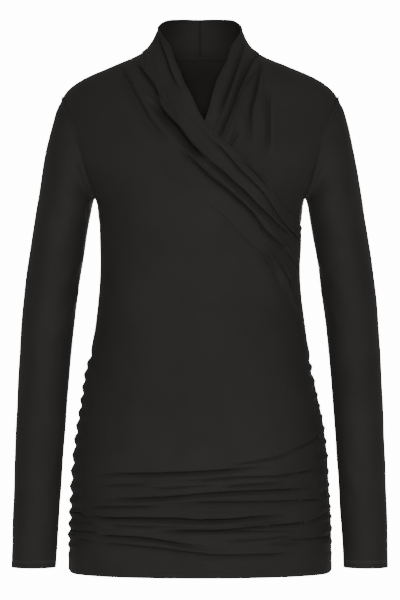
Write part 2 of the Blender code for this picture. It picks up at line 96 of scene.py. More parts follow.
# How deep and wide the cloth dips at a seam, and the overlocked strip beyond it, pressed flat inside
SEAM_DIP = 0.45
SEAM_DIP_WIDTH = 2.0
ALLOWANCE = 5.0
ALLOWANCE_DROP = 1.6

# Rows of a front count down its start edge: collar, neck seam, shoulder seam, armhole, then the side seam
COLLAR_STEPS = 4
NECK_POINT_ROW = 7
SHOULDER_ROW = 15
UNDERARM_ROW = 23
# Columns crowd where the body form turns: a turn of one radian counts as this much length
TURN_COST = 70.0
# Share of a row, from its start, over which it is drawn to the seam that it starts on
START_BLEND = 0.2

# Faces across each piece, and down and across the parts of the back
OUTER_COLUMNS = 100
UNDER_COLUMNS = 136
SLEEVE_COLUMNS = 96
SHOULDER_COLUMNS = 30
NECK_COLUMNS = 60
YOKE_ROWS = 60
LOWER_BACK_ROWS = 180
# Samples along a guide row, for each place of a crease, along a gather and along a sleeve's crease
ROW_SAMPLES = 240
CREASE_SAMPLES = 8
GATHER_SAMPLES = 8
DRAG_SAMPLES = 24

# A level section of the body form: its half width, its depths before and behind, and how square it is
Section = namedtuple("Section", "z half_width front back power")
BODY = [
    Section(-700, 176, 102, 110, 2.2),
    Section(-680, 177.5, 104, 112, 2.2),
    Section(-649, 177.5, 105, 114, 2.2),
    Section(-585, 174.8, 107, 117, 2.2),
    Section(-536, 172, 108, 114, 2.2),
    Section(-487, 166, 106, 106, 2.2),
    Section(-440, 156.5, 103, 94, 2.2),
    Section(-390, 147, 98, 84, 2.2),
    Section(-350, 140.5, 97, 80, 2.2),
    Section(-305, 136, 101, 81, 2.2),
    Section(-270, 134.5, 107, 85, 2.2),
    Section(-235, 135, 116, 91, 2.2),
    Section(-210, 136.3, 120, 96, 2.2),
    Section(-197, 138, 121.5, 98, 2.2),
    Section(-184, 142, 122, 100, 2.15),
    Section(-170, 155.5, 120.5, 102, 2.1),
    Section(-150, 170, 117, 104, 2.05),
    Section(-125, 183, 110, 104, 2.02),
    Section(-100, 190, 101, 101, 2.0),
    Section(-75, 192, 92, 96, 2.0),
    Section(-52, 187, 83, 89, 2.0),
    Section(-43, 182, 79, 85, 2.0),
    Section(-32, 171, 74, 79, 2.0),
    Section(-22, 155, 69, 73, 2.0),
    Section(-11, 130, 64, 66, 2.0),
    Section(-3, 111, 60, 61, 2.0),
    Section(5, 91, 57, 57, 2.0),
    Section(13, 77, 54, 54, 2.0),
    Section(21, 68, 51, 52, 2.0),
    Section(30, 63, 49, 51, 2.0),
    Section(42, 57, 46, 50, 2.0),
    Section(54, 51, 43, 49, 2.0),
    Section(64, 44, 40, 47, 2.0),
]

# A guide row of a front: its row, its places (angle, height) after the start on the seam, and how far the
# cloth stands out at the start, three places between and the end
Guide = namedtuple("Guide", "row places stands")
OUTER_GUIDES = [
    Guide(0, [(-150, 60.1), (-120, 57.7), (-90, 48), (-67, 39.5), (-49, 29), (-35.7, 18.2), (-19.6, -0.7),
              (-10.6, -18.9), (-6.8, -36.3), (-3.7, -52.7), (-0.5, -76.2), (3.8, -96.9), (10.6, -118),
              (16, -131), (35, -173), (52, -200), (78, -222), (90, -226)], (0, 1.5, 3.4, 4.0, 1.6)),
    Guide(2, [(-135, 34), (-90, 30), (-60, 20), (-28, -1), (-8, -48), (2, -103), (13, -140), (33, -179),
              (48, -212), (76, -230), (90, -232)], (0, 0.6, 3.6, 4.6, 1.8)),
    Guide(4, [(-135, 12), (-90, 23), (-56, 13), (-29, -5), (-11, -54), (0, -110), (11, -147), (30, -185),
              (46, -216), (76, -237), (90, -239)], (0, 1.4, 4.6, 5.4, 2.0)),
    Guide(6, [(-105, 14), (-90, 18), (-60, 7), (-30, -9), (-14, -59), (-1, -114), (10, -150), (28, -188),
              (45, -218), (76, -241), (90, -244)], (0, 1.0, 4.4, 5.4, 2.0)),
    Guide(7, [(-80, 13.5), (-60, 3), (-31, -13), (-15, -63), (-2, -117), (10, -153), (27, -191), (44, -220),
              (76, -244), (90, -247)], (0, 1.0, 4.2, 5.2, 2.0)),
    Guide(8, [(-62, -4), (-34, -19), (-17, -66), (-4, -123), (8, -159), (24, -195), (42, -226), (76, -250),
              (90, -253)], (0.6, 2.0, 4.0, 5.0, 2.0)),
    Guide(10, [(-64, -16), (-41, -27), (-23, -76), (-6, -130), (6, -165), (21, -201), (39, -234),
               (76, -259), (90, -262)], (0, 1.0, 2.4, 3.4, 1.6)),
    Guide(12, [(-68, -29), (-46, -36), (-29, -88), (-12, -144), (1, -179), (14, -214), (32, -250),
               (76, -274), (90, -278)], (0, 0.6, 1.2, 1.8, 0.8)),
    Guide(18, [(-49, -102), (-36, -123), (-23, -157), (-4, -193), (14, -226), (35, -258), (72, -310),
               (90, -324)], (0, 0.2, 0.3, 0.4, 0.2)),
    Guide(21, [(-50, -169), (-36, -182), (-22, -203), (-3, -233), (17, -262), (44, -290), (69, -345),
               (90, -356)], (0, 0.3, 0.8, 1.5, 0.5)),
    Guide(25, [(-55, -236), (-37, -246), (-21, -262), (0, -288), (21, -313), (47, -340), (67, -366),
               (90, -377)], (0, 0.5, 0.5, 0.5, 0)),
    Guide(27, [(-54, -312), (-33, -320), (-15, -332), (2, -346), (20, -358), (44, -371), (71, -385),
               (90, -391)], (0, 0.5, 1, 1.5, 0.6)),
    Guide(30, [(0, -399), (90, -403)], (0, 0, 0, 0, 0)),
    Guide(46, [(0, -548), (90, -541)], (0, 0, 0, 0, 0)),
    Guide(60, [(0, -661), (90, -655)], (0, 0, 0, 0, 0)),
    Guide(63, [(angle, hem_height(angle)) for angle in HEM_ANGLES], (0.4, 0.4, 0.4, 0.4, 0.4)),
]
OUTER_SIDE_SEAM = [(23, UNDERARM), (25, -236), (27, -316), (30, -396), (46, -541), (60, -657),
                   (63, hem_height(90))]

UNDER_GUIDES = [
    Guide(0, [(-150, 60.1), (-120, 57.7), (-90, 47.5), (-52, 29), (-27.2, 7.2), (-17.6, -6.2),
              (-11.3, -18.7), (-7.3, -34.7), (-5.4, -50.4), (-3.5, -72.7), (-2.2, -85.4), (0.8, -100),
              (15, -144), (39, -190), (58, -218), (78, -240), (90, -245)], (0, 1, 2.5, 2, 0)),
    Guide(2, [(-135, 34), (-90, 29), (-56, 17), (-29, -2), (-11, -50), (-4, -104), (9, -157), (31, -206),
              (50, -242), (78, -270), (90, -275)], (0, 0.3, 1.5, 1, 0)),
    Guide(4, [(-135, 12), (-90, 22), (-58, 10), (-31, -6), (-13, -54), (-6, -108), (7, -165), (27, -219),
              (46, -256), (78, -286), (90, -292)], (0, 1.0, 2.2, 1, 0)),
    Guide(6, [(-105, 14), (-90, 18), (-60, 6), (-32, -10), (-14, -55), (-7, -110), (5, -170), (23, -228),
              (43, -266), (77, -296), (90, -303)], (0, 0.6, 1.5, 0.6, 0)),
    Guide(7, [(-80, 13.5), (-62, 2), (-32, -13), (-15, -58), (-8, -112), (4, -174), (22, -233), (42, -272),
              (77, -302), (90, -309)], (0, 0, 0, 0, 0)),
    Guide(8, [(-60, -6), (-32, -17), (-18, -60), (-13, -114), (-5, -181), (11, -247), (30, -290),
              (75, -318), (90, -324)], (0, 0.8, 1.6, 0.5, 0)),
    Guide(9, [(-58, -13), (-32, -23), (-21, -63), (-19, -117), (-13, -190), (0, -262), (18, -308),
              (73, -335), (90, -340)], (0, 0, 0, 0, 0)),
    Guide(11, [(-56, -30), (-36, -38), (-28, -72), (-28, -134), (-31, -196), (-20, -256), (-2, -308),
               (40, -362), (90, -385)], (0, 0.8, 1.2, 0.3, 0)),
    Guide(18, [(-56, -120), (-52, -155), (-52, -205), (-49, -258), (-30, -325), (8, -392), (90, -455)],
          (0, 0, 0, 0, 0)),
    Guide(21, [(-62, -184), (-60, -215), (-58, -262), (-42, -335), (-5, -410), (45, -465), (90, -488)],
          (0, 0, 0, 0, 0)),
    Guide(23, [(-82, -200), (-75, -226), (-69, -268), (-56, -336), (-20, -430), (30, -495), (90, -520)],
          (0, 0, 0, 0, 0)),
    Guide(27, [(-60, -420), (0, -510), (50, -550), (90, -565)], (0, 0, 0, 0, 0)),
    Guide(31, [(-45, -576), (0, -612), (45, -628), (90, -635)], (0, 0, 0, 0, 0)),
    Guide(34, [(-45, UNDER_HEM), (0, UNDER_HEM), (45, UNDER_HEM), (90, UNDER_HEM)], (0, 0, 0, 0, 0)),
]
UNDER_SIDE_SEAM = [(23, UNDERARM), (27, -340), (31, -540), (34, UNDER_HEM)]

# A crease in the cloth: its places seen from the front as (x, z), how far it spreads to each side, how far
# it stands out (a trough is negative), and over what share of its length it fades in and out
Crease = namedtuple("Crease", "places spread stand fade_in fade_out")
WRAP_CREASES = [
    Crease([(-56, 34), (-51, 13), (-45, -4), (-40, -20), (-30, -41), (-25, -53)], 2.9, -7.9, 0.1, 0.35),
    Crease([(-66, 16), (-53, -14), (-46, -29), (-29, -71), (7, -111), (37, -142),
            (72, -183)], 5.0, 1.9, 0.2, 0.4),
    Crease([(-87, -2), (-73, -22), (-60, -40), (-53, -64), (-42, -77)], 3.3, -8.8, 0.2, 0.3),
    Crease([(-63, -49), (-56, -65), (-45, -80), (-32, -94), (-23, -107), (-12, -121), (-3, -130),
            (10, -145)], 6.6, -24.0, 0.25, 0.3),
    Crease([(-4, -123), (13, -142), (29, -155), (46, -171), (59, -182), (72, -196), (86, -209), (99, -222),
            (122, -240)], 2.6, -9.2, 0.2, 0.12),
    Crease([(-86, -22), (-73, -43), (-60, -61), (-33, -99), (7, -144), (37, -173), (72, -206),
            (106, -242)], 2.6, 2.4, 0.15, 0.2),
    Crease([(-40, -110), (-20, -131), (-7, -142), (13, -161), (33, -177), (66, -207), (86, -232),
            (118, -257)], 2.9, -7.5, 0.2, 0.12),
    Crease([(-112, -8), (-104, -21), (-86, -56), (-66, -90), (-46, -111),
            (-28, -126)], 12.1, -7.0, 0.2, 0.4),
    Crease([(-104, -2), (-92, -20), (-80, -44), (-62, -72), (-40, -100)], 3.0, 1.5, 0.3, 0.4),
    Crease([(14, -110), (33, -131), (52, -153), (66, -166), (82, -183), (95, -203), (110, -222),
            (132, -243)], 2.2, -6.6, 0.1, 0.1),
    Crease([(18, -118), (40, -140), (60, -160), (82, -184), (100, -208), (118, -232)], 3.0, 1.3, 0.2, 0.3),
    Crease([(50, -134), (63, -146), (82, -165), (99, -184)], 2.0, -4.0, 0.3, 0.3),
    Crease([(104, -190), (113, -204), (122, -220), (129, -232)], 2.2, -3.5, 0.4, 0.1),
    Crease([(80, -200), (92, -214), (106, -228), (120, -240)], 2.4, 1.5, 0.3, 0.2),
    Crease([(62, -236), (86, -255), (99, -271), (110, -285), (120, -312), (134, -348)], 5.0, 3.2, 0.4, 0.1),
    Crease([(96, -258), (106, -272), (116, -290), (126, -312), (133, -335)], 3.3, -7.0, 0.3, 0.1),
    Crease([(74, -250), (90, -268), (102, -290), (112, -318)], 7.7, -4.0, 0.4, 0.4),
    Crease([(104, -246), (114, -258), (124, -270), (134, -284)], 2.6, -4.8, 0.4, 0.1),
    Crease([(100, -238), (112, -250), (124, -262), (132, -272)], 2.4, 1.9, 0.4, 0.1),
]
HIP_CREASES = [
    Crease([(-150, -552), (-79, -551), (-20, -549), (33, -546), (66, -543),
            (110, -540)], 2.2, -5.2, 0.3, 0.3),
    Crease([(-150, -557), (-79, -557), (-20, -555), (33, -552), (92, -549)], 3.0, 1.8, 0.3, 0.3),
    Crease([(20, -540), (66, -536), (82, -533), (106, -529), (127, -520),
            (150, -510)], 2.0, -4.1, 0.4, 0.1),
    Crease([(136, -518), (150, -511), (163, -499)], 2.2, -5.5, 0.5, 0.0),
    Crease([(-40, -563), (13, -558), (66, -555), (92, -555), (132, -551),
            (162, -547)], 2.2, -3.8, 0.3, 0.1),
    Crease([(-140, -568), (-100, -566), (-55, -563)], 2.2, -3.1, 0.3, 0.4),
    Crease([(20, -568), (66, -565), (120, -563)], 2.2, -3.4, 0.3, 0.3),
    Crease([(-40, -571), (13, -568), (66, -571), (140, -568)], 2.8, 1.5, 0.3, 0.3),
    Crease([(-150, -586), (-66, -583), (-26, -580), (7, -577), (39, -575), (59, -574), (132, -572),
            (160, -568)], 2.8, -5.5, 0.3, 0.2),
    Crease([(-150, -592), (-66, -589), (13, -583), (60, -580), (140, -579)], 2.6, 1.5, 0.3, 0.2),
    Crease([(-150, -597), (-92, -595), (-39, -594)], 2.2, -4.1, 0.2, 0.4),
    Crease([(-53, -592), (13, -588), (106, -588), (168, -588)], 2.2, -4.1, 0.3, 0.1),
    Crease([(-60, -600), (13, -597), (106, -597), (150, -596)], 4.0, 1.8, 0.3, 0.2),
    Crease([(-160, -606), (-122, -611), (-79, -610), (-33, -610), (0, -612), (39, -611), (79, -608),
            (130, -606)], 2.6, -7.6, 0.2, 0.3),
    Crease([(-140, -616), (-79, -616), (0, -618), (60, -616), (120, -612)], 3.0, 2.2, 0.3, 0.3),
    Crease([(-80, -628), (-26, -626), (13, -626), (53, -624), (92, -621), (132, -618), (157, -614),
            (172, -608)], 2.4, -6.6, 0.3, 0.05),
    Crease([(-60, -632), (13, -631), (79, -629), (130, -626)], 3.0, 1.5, 0.3, 0.3),
    Crease([(30, -627), (80, -627), (135, -628)], 2.0, -2.8, 0.3, 0.3),
    Crease([(-145, -634), (-92, -635), (-66, -637), (-39, -641), (-13, -645),
            (20, -648)], 2.4, -6.2, 0.2, 0.4),
    Crease([(-110, -640), (-66, -642), (-20, -649), (20, -653), (60, -654)], 2.4, 2.2, 0.2, 0.3),
    Crease([(-150, -643), (-122, -644), (-66, -648), (-13, -654), (26, -658), (79, -658),
            (140, -655)], 2.8, -4.1, 0.2, 0.2),
    Crease([(-60, -660), (-13, -664), (26, -667), (79, -667), (120, -664)], 4.0, 1.3, 0.4, 0.4),
    Crease([(-175, -607), (-163, -606), (-153, -611), (-143, -618)], 2.0, -4.1, 0.0, 0.4),
    Crease([(-174, -631), (-150, -630), (-125, -632)], 2.0, -3.4, 0.0, 0.4),
    Crease([(-150, -397), (-152, -420), (-155, -462)], 30.0, 2.8, 0.2, 0.5),
    Crease([(100, -638), (140, -639), (174, -639)], 2.0, -3.4, 0.4, 0.0),
    Crease([(-73, -571), (-20, -568), (22, -564)], 2.2, -2.8, 0.3, 0.3),
    Crease([(-125, -619), (-75, -621), (-29, -621)], 2.2, -3.0, 0.2, 0.4),
    Crease([(37, -619), (80, -617), (118, -614)], 2.2, -2.6, 0.4, 0.3),
    Crease([(15, -640), (70, -638), (133, -634)], 2.4, -2.8, 0.4, 0.2),
    Crease([(74, -643), (110, -644), (140, -644)], 2.2, -2.4, 0.4, 0.2),
    Crease([(-164, -619), (-140, -617)], 2.2, -2.6, 0.1, 0.5),
    Crease([(-165, -640), (-136, -642)], 2.2, -2.4, 0.1, 0.5),
]
UNDER_CREASES = [
    Crease([(60, 24), (58, 18), (51, -2), (44, -23), (37, -43), (29, -64),
            (23, -78)], 3.0, -12.0, 0.15, 0.2),
    Crease([(62, 10), (46, -36), (34, -70), (24, -91), (18, -106)], 2.8, 2.6, 0.2, 0.1),
    Crease([(78, 10), (61, -18), (50, -43), (42, -66), (34, -84), (25, -108)], 3.0, -13.5, 0.2, 0.12),
    Crease([(76, 0), (66, -22), (57, -50), (48, -77), (40, -97), (33, -116)], 3.2, 2.6, 0.2, 0.1),
    Crease([(52, -92), (46, -106), (40, -116), (34, -124)], 3.2, -6.0, 0.4, 0.1),
    Crease([(84, 0), (76, -29), (72, -50), (67, -68), (66, -84), (66, -132)], 3.0, -10.0, 0.2, 0.5),
    Crease([(84, -20), (80, -43), (77, -80), (75, -115)], 3.6, 1.9, 0.3, 0.4),
    Crease([(94, -30), (90, -50), (90, -97), (88, -137)], 4.5, -6.5, 0.4, 0.4),
    Crease([(100, -40), (98, -80), (96, -150)], 5.0, 1.5, 0.4, 0.4),
]
# Short gathers that start at a side seam, by height, with their reach along the front, stand and slope
Gather = namedtuple("Gather", "z reach stand slope")
RIGHT_GATHERS = [
    Gather(-396, 24, -1.6, 0.05), Gather(-413, 30, -1.8, 0.10), Gather(-430, 26, -1.7, 0.05),
    Gather(-447, 34, -2.0, 0.08), Gather(-464, 30, -1.8, 0.02), Gather(-481, 38, -2.0, 0.04),
    Gather(-499, 34, -2.0, 0.0), Gather(-518, 44, -2.2, 0.02), Gather(-541, 52, -2.2, 0.04),
    Gather(-562, 44, -2.2, 0.03), Gather(-582, 50, -2.4, 0.02), Gather(-599, 40, -2.2, 0.0),
    Gather(-615, 46, -2.2, -0.02), Gather(-630, 40, -2.0, 0.0), Gather(-644, 44, -1.8, 0.02),
    Gather(-657, 30, -1.0, 0.0),
]
LEFT_GATHERS = [
    Gather(-403, 26, -1.8, 0.05), Gather(-419, 30, -2.0, 0.08), Gather(-440, 34, -2.2, 0.10),
    Gather(-456, 28, -2.0, 0.06), Gather(-470, 36, -2.2, 0.06), Gather(-485, 44, -2.4, 0.10),
    Gather(-502, 40, -2.4, 0.15), Gather(-520, 48, -2.4, 0.10), Gather(-541, 44, -2.2, 0.08),
    Gather(-562, 40, -2.2, 0.04), Gather(-578, 46, -2.4, 0.04), Gather(-593, 40, -2.2, 0.02),
    Gather(-606, 48, -2.2, 0.06), Gather(-619, 40, -2.2, 0.06), Gather(-638, 40, -1.8, 0.02),
    Gather(-655, 30, -1.2, 0.0),
]
# How far to each side a crease is worked out, in spreads
CREASE_REACH = 3.2
# Share of its distance by which cloth beside a trough is drawn towards it
PINCH = 0.4
# How far a trough runs in under the fold beside it, for each millimetre of its depth
TUCK = 0.4
# A trough with an open side is steeper on its other side, by this much for each mm of spread, within limits
STEEPNESS = 0.55
STEEPNESS_LIMITS = (1.2, 1.8)
# A trough wider than this fades on its open side with the first power, a narrower one with the second
WIDE_TROUGH = 3.0
OPEN_SIDE_POWERS = (2.0, 1.2)
# Which way the folds of the wrap, the hips and the under front are open, as (x, y, z)
WRAP_OPEN_SIDE = (-1, 0, -1)
HIP_OPEN_SIDE = (0, 0, -1)
UNDER_OPEN_SIDE = (-1, 0, -0.4)
# Side gathers: spread of each, and the height of the ridge below one for each millimetre of its depth
GATHER_SPREAD = 3.2
GATHER_RIDGE = 0.7
# Share of its reach over which a gather fades out, and how far below the lowest one the next would lie
GATHER_FADE = 0.75
GATHER_STEP = 14
# Gathers on the back reach this much further from the side seam than those in front
BACK_GATHER_REACH = 1.3
# Half width of the body form at the side seams, by which a gather's reach is turned into an angle
SIDE_RADIUS = 75

# The back's creases, seen from the front as (x, z)
BACK_CREASES = [
    Crease([(-150, -540), (-70, -548), (0, -551), (80, -547), (150, -540)], 5.0, -1.5, 0.2, 0.2),
    Crease([(-120, -561), (-40, -566), (60, -566), (140, -562)], 5.0, -1.3, 0.2, 0.3),
    Crease([(-150, -582), (-60, -588), (20, -590), (100, -584)], 5.0, -1.6, 0.2, 0.3),
    Crease([(-90, -603), (0, -608), (90, -606), (155, -598)], 4.5, -1.9, 0.3, 0.2),
    Crease([(-155, -612), (-80, -620), (0, -624), (70, -622)], 4.5, -1.6, 0.1, 0.4),
    Crease([(-60, -637), (20, -641), (110, -638), (160, -632)], 4.5, -1.5, 0.4, 0.1),
    Crease([(-150, -640), (-80, -648), (10, -653)], 4.0, -1.2, 0.1, 0.4),
    Crease([(-128, -330), (-70, -344), (0, -349), (60, -345), (120, -333)], 12.0, -1.8, 0.3, 0.3),
    Crease([(-120, -364), (-50, -378), (30, -380), (110, -366)], 12.0, -1.5, 0.3, 0.3),
    Crease([(-150, -170), (-125, -205), (-105, -245)], 10.0, -2.0, 0.1, 0.5),
    Crease([(150, -170), (124, -210), (108, -250)], 10.0, -1.8, 0.1, 0.5),
]

# Soft drags on a sleeve: places as (turn round the sleeve, ring counted down it), 0 outside and 90 in front
SLEEVE_CREASES = [
    Crease([(96, 0.7), (115, 0.7), (135, 0.8), (160, 1.0)], 5.0, -6.5, 0.3, 0.2),
    Crease([(150, 5.6), (115, 6.0), (75, 6.4)], 15.0, -3.0, 0.2, 0.4),
    Crease([(150, 1.5), (110, 3.0), (70, 4.2)], 9.0, -1.8, 0.1, 0.5),
    Crease([(160, 4.0), (120, 5.0), (80, 5.6)], 10.0, -1.6, 0.2, 0.5),
    Crease([(170, 7.4), (125, 8.2), (85, 8.7)], 9.0, -1.8, 0.1, 0.5),
    Crease([(175, 8.4), (135, 9.2), (100, 10.0)], 8.0, -1.5, 0.1, 0.5),
    Crease([(40, 9.4), (80, 10.3), (120, 10.9)], 10.0, -1.1, 0.4, 0.4),
    Crease([(200, 7.6), (240, 8.5), (285, 8.9)], 9.0, -1.6, 0.1, 0.5),
    Crease([(195, 9.0), (235, 9.7), (270, 10.6)], 9.0, -1.3, 0.1, 0.5),
    Crease([(320, 11.6), (280, 12.3), (240, 12.7)], 10.0, -1.0, 0.4, 0.4),
    Crease([(150, 12.0), (110, 12.7), (60, 13.1)], 9.0, -0.9, 0.3, 0.5),
]

# One ring of a sleeve: its outer and inner edges seen from the front, its middle and its half depth
Ring = namedtuple("Ring", "outer_x outer_z inner_x inner_z middle_y half_depth")
SLEEVE_RINGS = [
    Ring(187, SHOULDER_POINT, 142, UNDERARM, 0, 53),
    Ring(193.8, -65, 142.6, -185.5, 0, 54),
    Ring(200, -86, 143.2, -187, 0, 55),
    Ring(206, -112, 143.8, -189, 0, 55.5),
    Ring(211.6, -141, 144.5, -192, -1, 55.5),
    Ring(216.4, -170, 145.5, -197, -1.5, 55),
    Ring(221, -200, 147.5, -209, -2, 53.5),
    Ring(226.8, -236, 152.3, -238, -4, 51),
    Ring(233.4, -282, 159.5, -282, -7, 47.5),
    Ring(238.8, -332, 166, -332, -10, 44),
    Ring(242.4, -386, 172, -386, -14, 40.5),
    Ring(245.6, -450, 177.4, -450, -18, 37.5),
    Ring(248.2, -520, 182.4, -520, -22, 34.5),
    Ring(250.5, -590, 187, -590, -26, 32),
    Ring(252, -645, 190.6, -645, -29, 30),
    Ring(252.5, -679, 192.4, -679, -30, 29),
]
# Over this many rings the sleeve takes on the armhole's own line
CAP_RINGS = 4

# Sides of a folded edge's roll, over how many points it thickens from its start, and how thick it starts
EDGE_SIDES = 10
EDGE_TAPER = 6
EDGE_START = 0.5
# A stitch's half thickness, how flat it is pulled, and how far it stands up
STITCH_RADIUS = 0.35
STITCH_FLATNESS = 0.7
STITCH_RISE = 0.2
# The second row of twin stitching lies this far above the first
TWIN_GAP = 3.0


def linear(code):
    """Return an sRGB hex colour as linear red, green and blue."""
    parts = [int(code[k:k + 2], 16) / 255 for k in (1, 3, 5)]
    return tuple(p / 12.92 if p <= 0.04045 else ((p + 0.055) / 1.055) ** 2.4 for p in parts)


def smooth_curve(knots, values):
    """Return a function that runs smoothly through rows of values without overshooting them."""
    x = np.asarray(knots, float)
    y = np.asarray(values, float)
    step = np.diff(x).reshape([-1] + [1] * (y.ndim - 1))
    slope = np.diff(y, axis=0) / step
    tangent = np.zeros_like(y)
    tangent[0] = slope[0]
    tangent[-1] = slope[-1]
    product = slope[:-1] * slope[1:]
    total = np.where(slope[:-1] + slope[1:] == 0, 1, slope[:-1] + slope[1:])
    tangent[1:-1] = np.where(product > 0, 2 * product / total, 0)

    def value(at):
        at = np.clip(np.asarray(at, float), x[0], x[-1])
        k = np.clip(np.searchsorted(x, at, side="right") - 1, 0, len(x) - 2)
        shape = list(at.shape) + [1] * (y.ndim - 1)
        h = (x[k + 1] - x[k]).reshape(shape)
        t = ((at - x[k]) / (x[k + 1] - x[k])).reshape(shape)
        start = (2 * t + 1) * (1 - t) ** 2 * y[k] + t * (1 - t) ** 2 * h * tangent[k]
        end = t * t * (3 - 2 * t) * y[k + 1] + t * t * (t - 1) * h * tangent[k + 1]
        return start + end

    return value


def smooth_step(t):
    """Return a soft step from 0 to 1 as t goes from 0 to 1."""
    t = np.clip(t, 0, 1)
    return t * t * (3 - 2 * t)


def mix(a, b, share):
    """Return the value a share of the way from a to b."""
    return a + (b - a) * share


def running_length(points, axis=0):
    """Return how far along its row, column or line each point lies."""
    steps = np.linalg.norm(np.diff(points, axis=axis), axis=-1)
    start = np.zeros_like(np.take(steps, [0], axis=axis))
    return np.concatenate([start, np.cumsum(steps, axis=axis)], axis=axis)


FORM = smooth_curve([section.z for section in BODY], [section[1:] for section in BODY])


def on_body(angle, z):
    """Return points of the body form at angles from centre front and heights, as an array of (x, y, z)."""
    angle, z = np.broadcast_arrays(np.asarray(angle, float), np.asarray(z, float))
    half_width, front, back, power = np.moveaxis(FORM(z), -1, 0)
    side = np.sin(np.radians(angle))
    ahead = np.cos(np.radians(angle))
    depth = np.where(ahead > 0, front, back)
    x = half_width * np.sign(side) * np.abs(side) ** (2 / power)
    y = -depth * np.sign(ahead) * np.abs(ahead) ** (2 / power)
    return np.stack([x, y, z], axis=-1)


def body_normal(angle, z):
    """Return the directions straight out of the body form."""
    around = on_body(angle + 1.5, z) - on_body(angle - 1.5, z)
    up = on_body(angle, z + 1.5) - on_body(angle, z - 1.5)
    out = np.cross(around, up)
    return out / np.linalg.norm(out, axis=-1, keepdims=True)


def angle_at(x, z, behind=False):
    """Return the angle of a place on the body form that is seen from the front at (x, z)."""
    half_width, _, _, power = np.moveaxis(FORM(z), -1, 0)
    share = np.clip(np.abs(x) / half_width, 0, 1)
    angle = np.degrees(np.arcsin(share ** (power / 2))) * np.sign(x)
    return 180 - angle if behind else angle


def armhole(turn):
    """Return the angle and height of the armhole, from 0 at the shoulder to 180 at the underarm."""
    middle = (SHOULDER_POINT + UNDERARM) / 2
    z = middle + (SHOULDER_POINT - UNDERARM) / 2 * np.cos(np.radians(turn))
    share = 1 - ARMHOLE_CUT * np.sin(np.radians(turn)) ** 2
    return np.degrees(np.arcsin(share ** (FORM(z)[..., 3] / 2))), z


def neck_height(angle):
    """Return the height of the neck seam at an angle between the neck point and centre back."""
    return mix(BACK_NECK, NECK_POINT, ((180 - np.abs(angle)) / 90) ** 2)


def front_start(row, side_seam):
    """Return where a row of a front starts: at the collar, neck, shoulder, armhole or side seam."""
    if row <= COLLAR_STEPS:
        return -180.0, mix(COLLAR_TOP, BACK_NECK, row / COLLAR_STEPS)
    if row <= NECK_POINT_ROW:
        angle = -mix(180.0, 90.0, (row - COLLAR_STEPS) / (NECK_POINT_ROW - COLLAR_STEPS))
        return angle, float(neck_height(angle))
    if row <= SHOULDER_ROW:
        down = (row - NECK_POINT_ROW) / (SHOULDER_ROW - NECK_POINT_ROW)
        return -90.0, mix(NECK_POINT, SHOULDER_POINT, down)
    if row <= UNDERARM_ROW:
        angle, z = armhole(180 * (row - SHOULDER_ROW) / (UNDERARM_ROW - SHOULDER_ROW))
        return -float(angle), float(z)
    knots, heights = zip(*side_seam)
    return -90.0, float(np.interp(row, knots, heights))


def along_row(places, columns):
    """Return places along a guide row, spaced by length and by how much the body form turns."""
    places = np.array(places, float)
    reach = running_length(on_body(places[:, 0], places[:, 1]))
    curve = smooth_curve(reach, places)
    samples = np.linspace(0, reach[-1], ROW_SAMPLES + 1)
    spots = curve(samples)
    lengths = np.linalg.norm(np.diff(on_body(spots[:, 0], spots[:, 1]), axis=0), axis=1)
    normals = body_normal(spots[:, 0], spots[:, 1])
    turns = np.arccos(np.clip(np.sum(normals[1:] * normals[:-1], axis=1), -1, 1))
    effort = np.concatenate([[0], np.cumsum(lengths + TURN_COST * turns)])
    return curve(np.interp(np.linspace(0, effort[-1], columns + 1), effort, samples))


def front_sheet(guides, side_seam, columns, rows):
    """Return angle, height and stand at every row and column of a front, worked out between its guides."""
    knots = [guide.row for guide in guides]
    spread = np.linspace(0, 1, 5)
    across = np.linspace(0, 1, columns + 1)
    lines = [along_row([front_start(g.row, side_seam)] + g.places, columns) for g in guides]
    stands = [smooth_curve(spread, g.stands)(across)[:, None] for g in guides]
    sheet = smooth_curve(knots, np.concatenate([np.array(lines), np.array(stands)], axis=2))(rows)
    starts = np.array([front_start(row, side_seam) for row in rows])
    miss = starts - sheet[:, 0, :2]
    fade = (1 - np.clip(across / START_BLEND, 0, 1)) ** 2
    sheet[..., :2] += miss[:, None, :] * fade[None, :, None]
    return sheet


def spaced_rows(stretches):
    """Return row numbers from (first, last, steps) stretches laid end to end."""
    parts = [np.linspace(first, last, steps, endpoint=False) for first, last, steps in stretches]
    return np.concatenate(parts + [[stretches[-1][1]]])


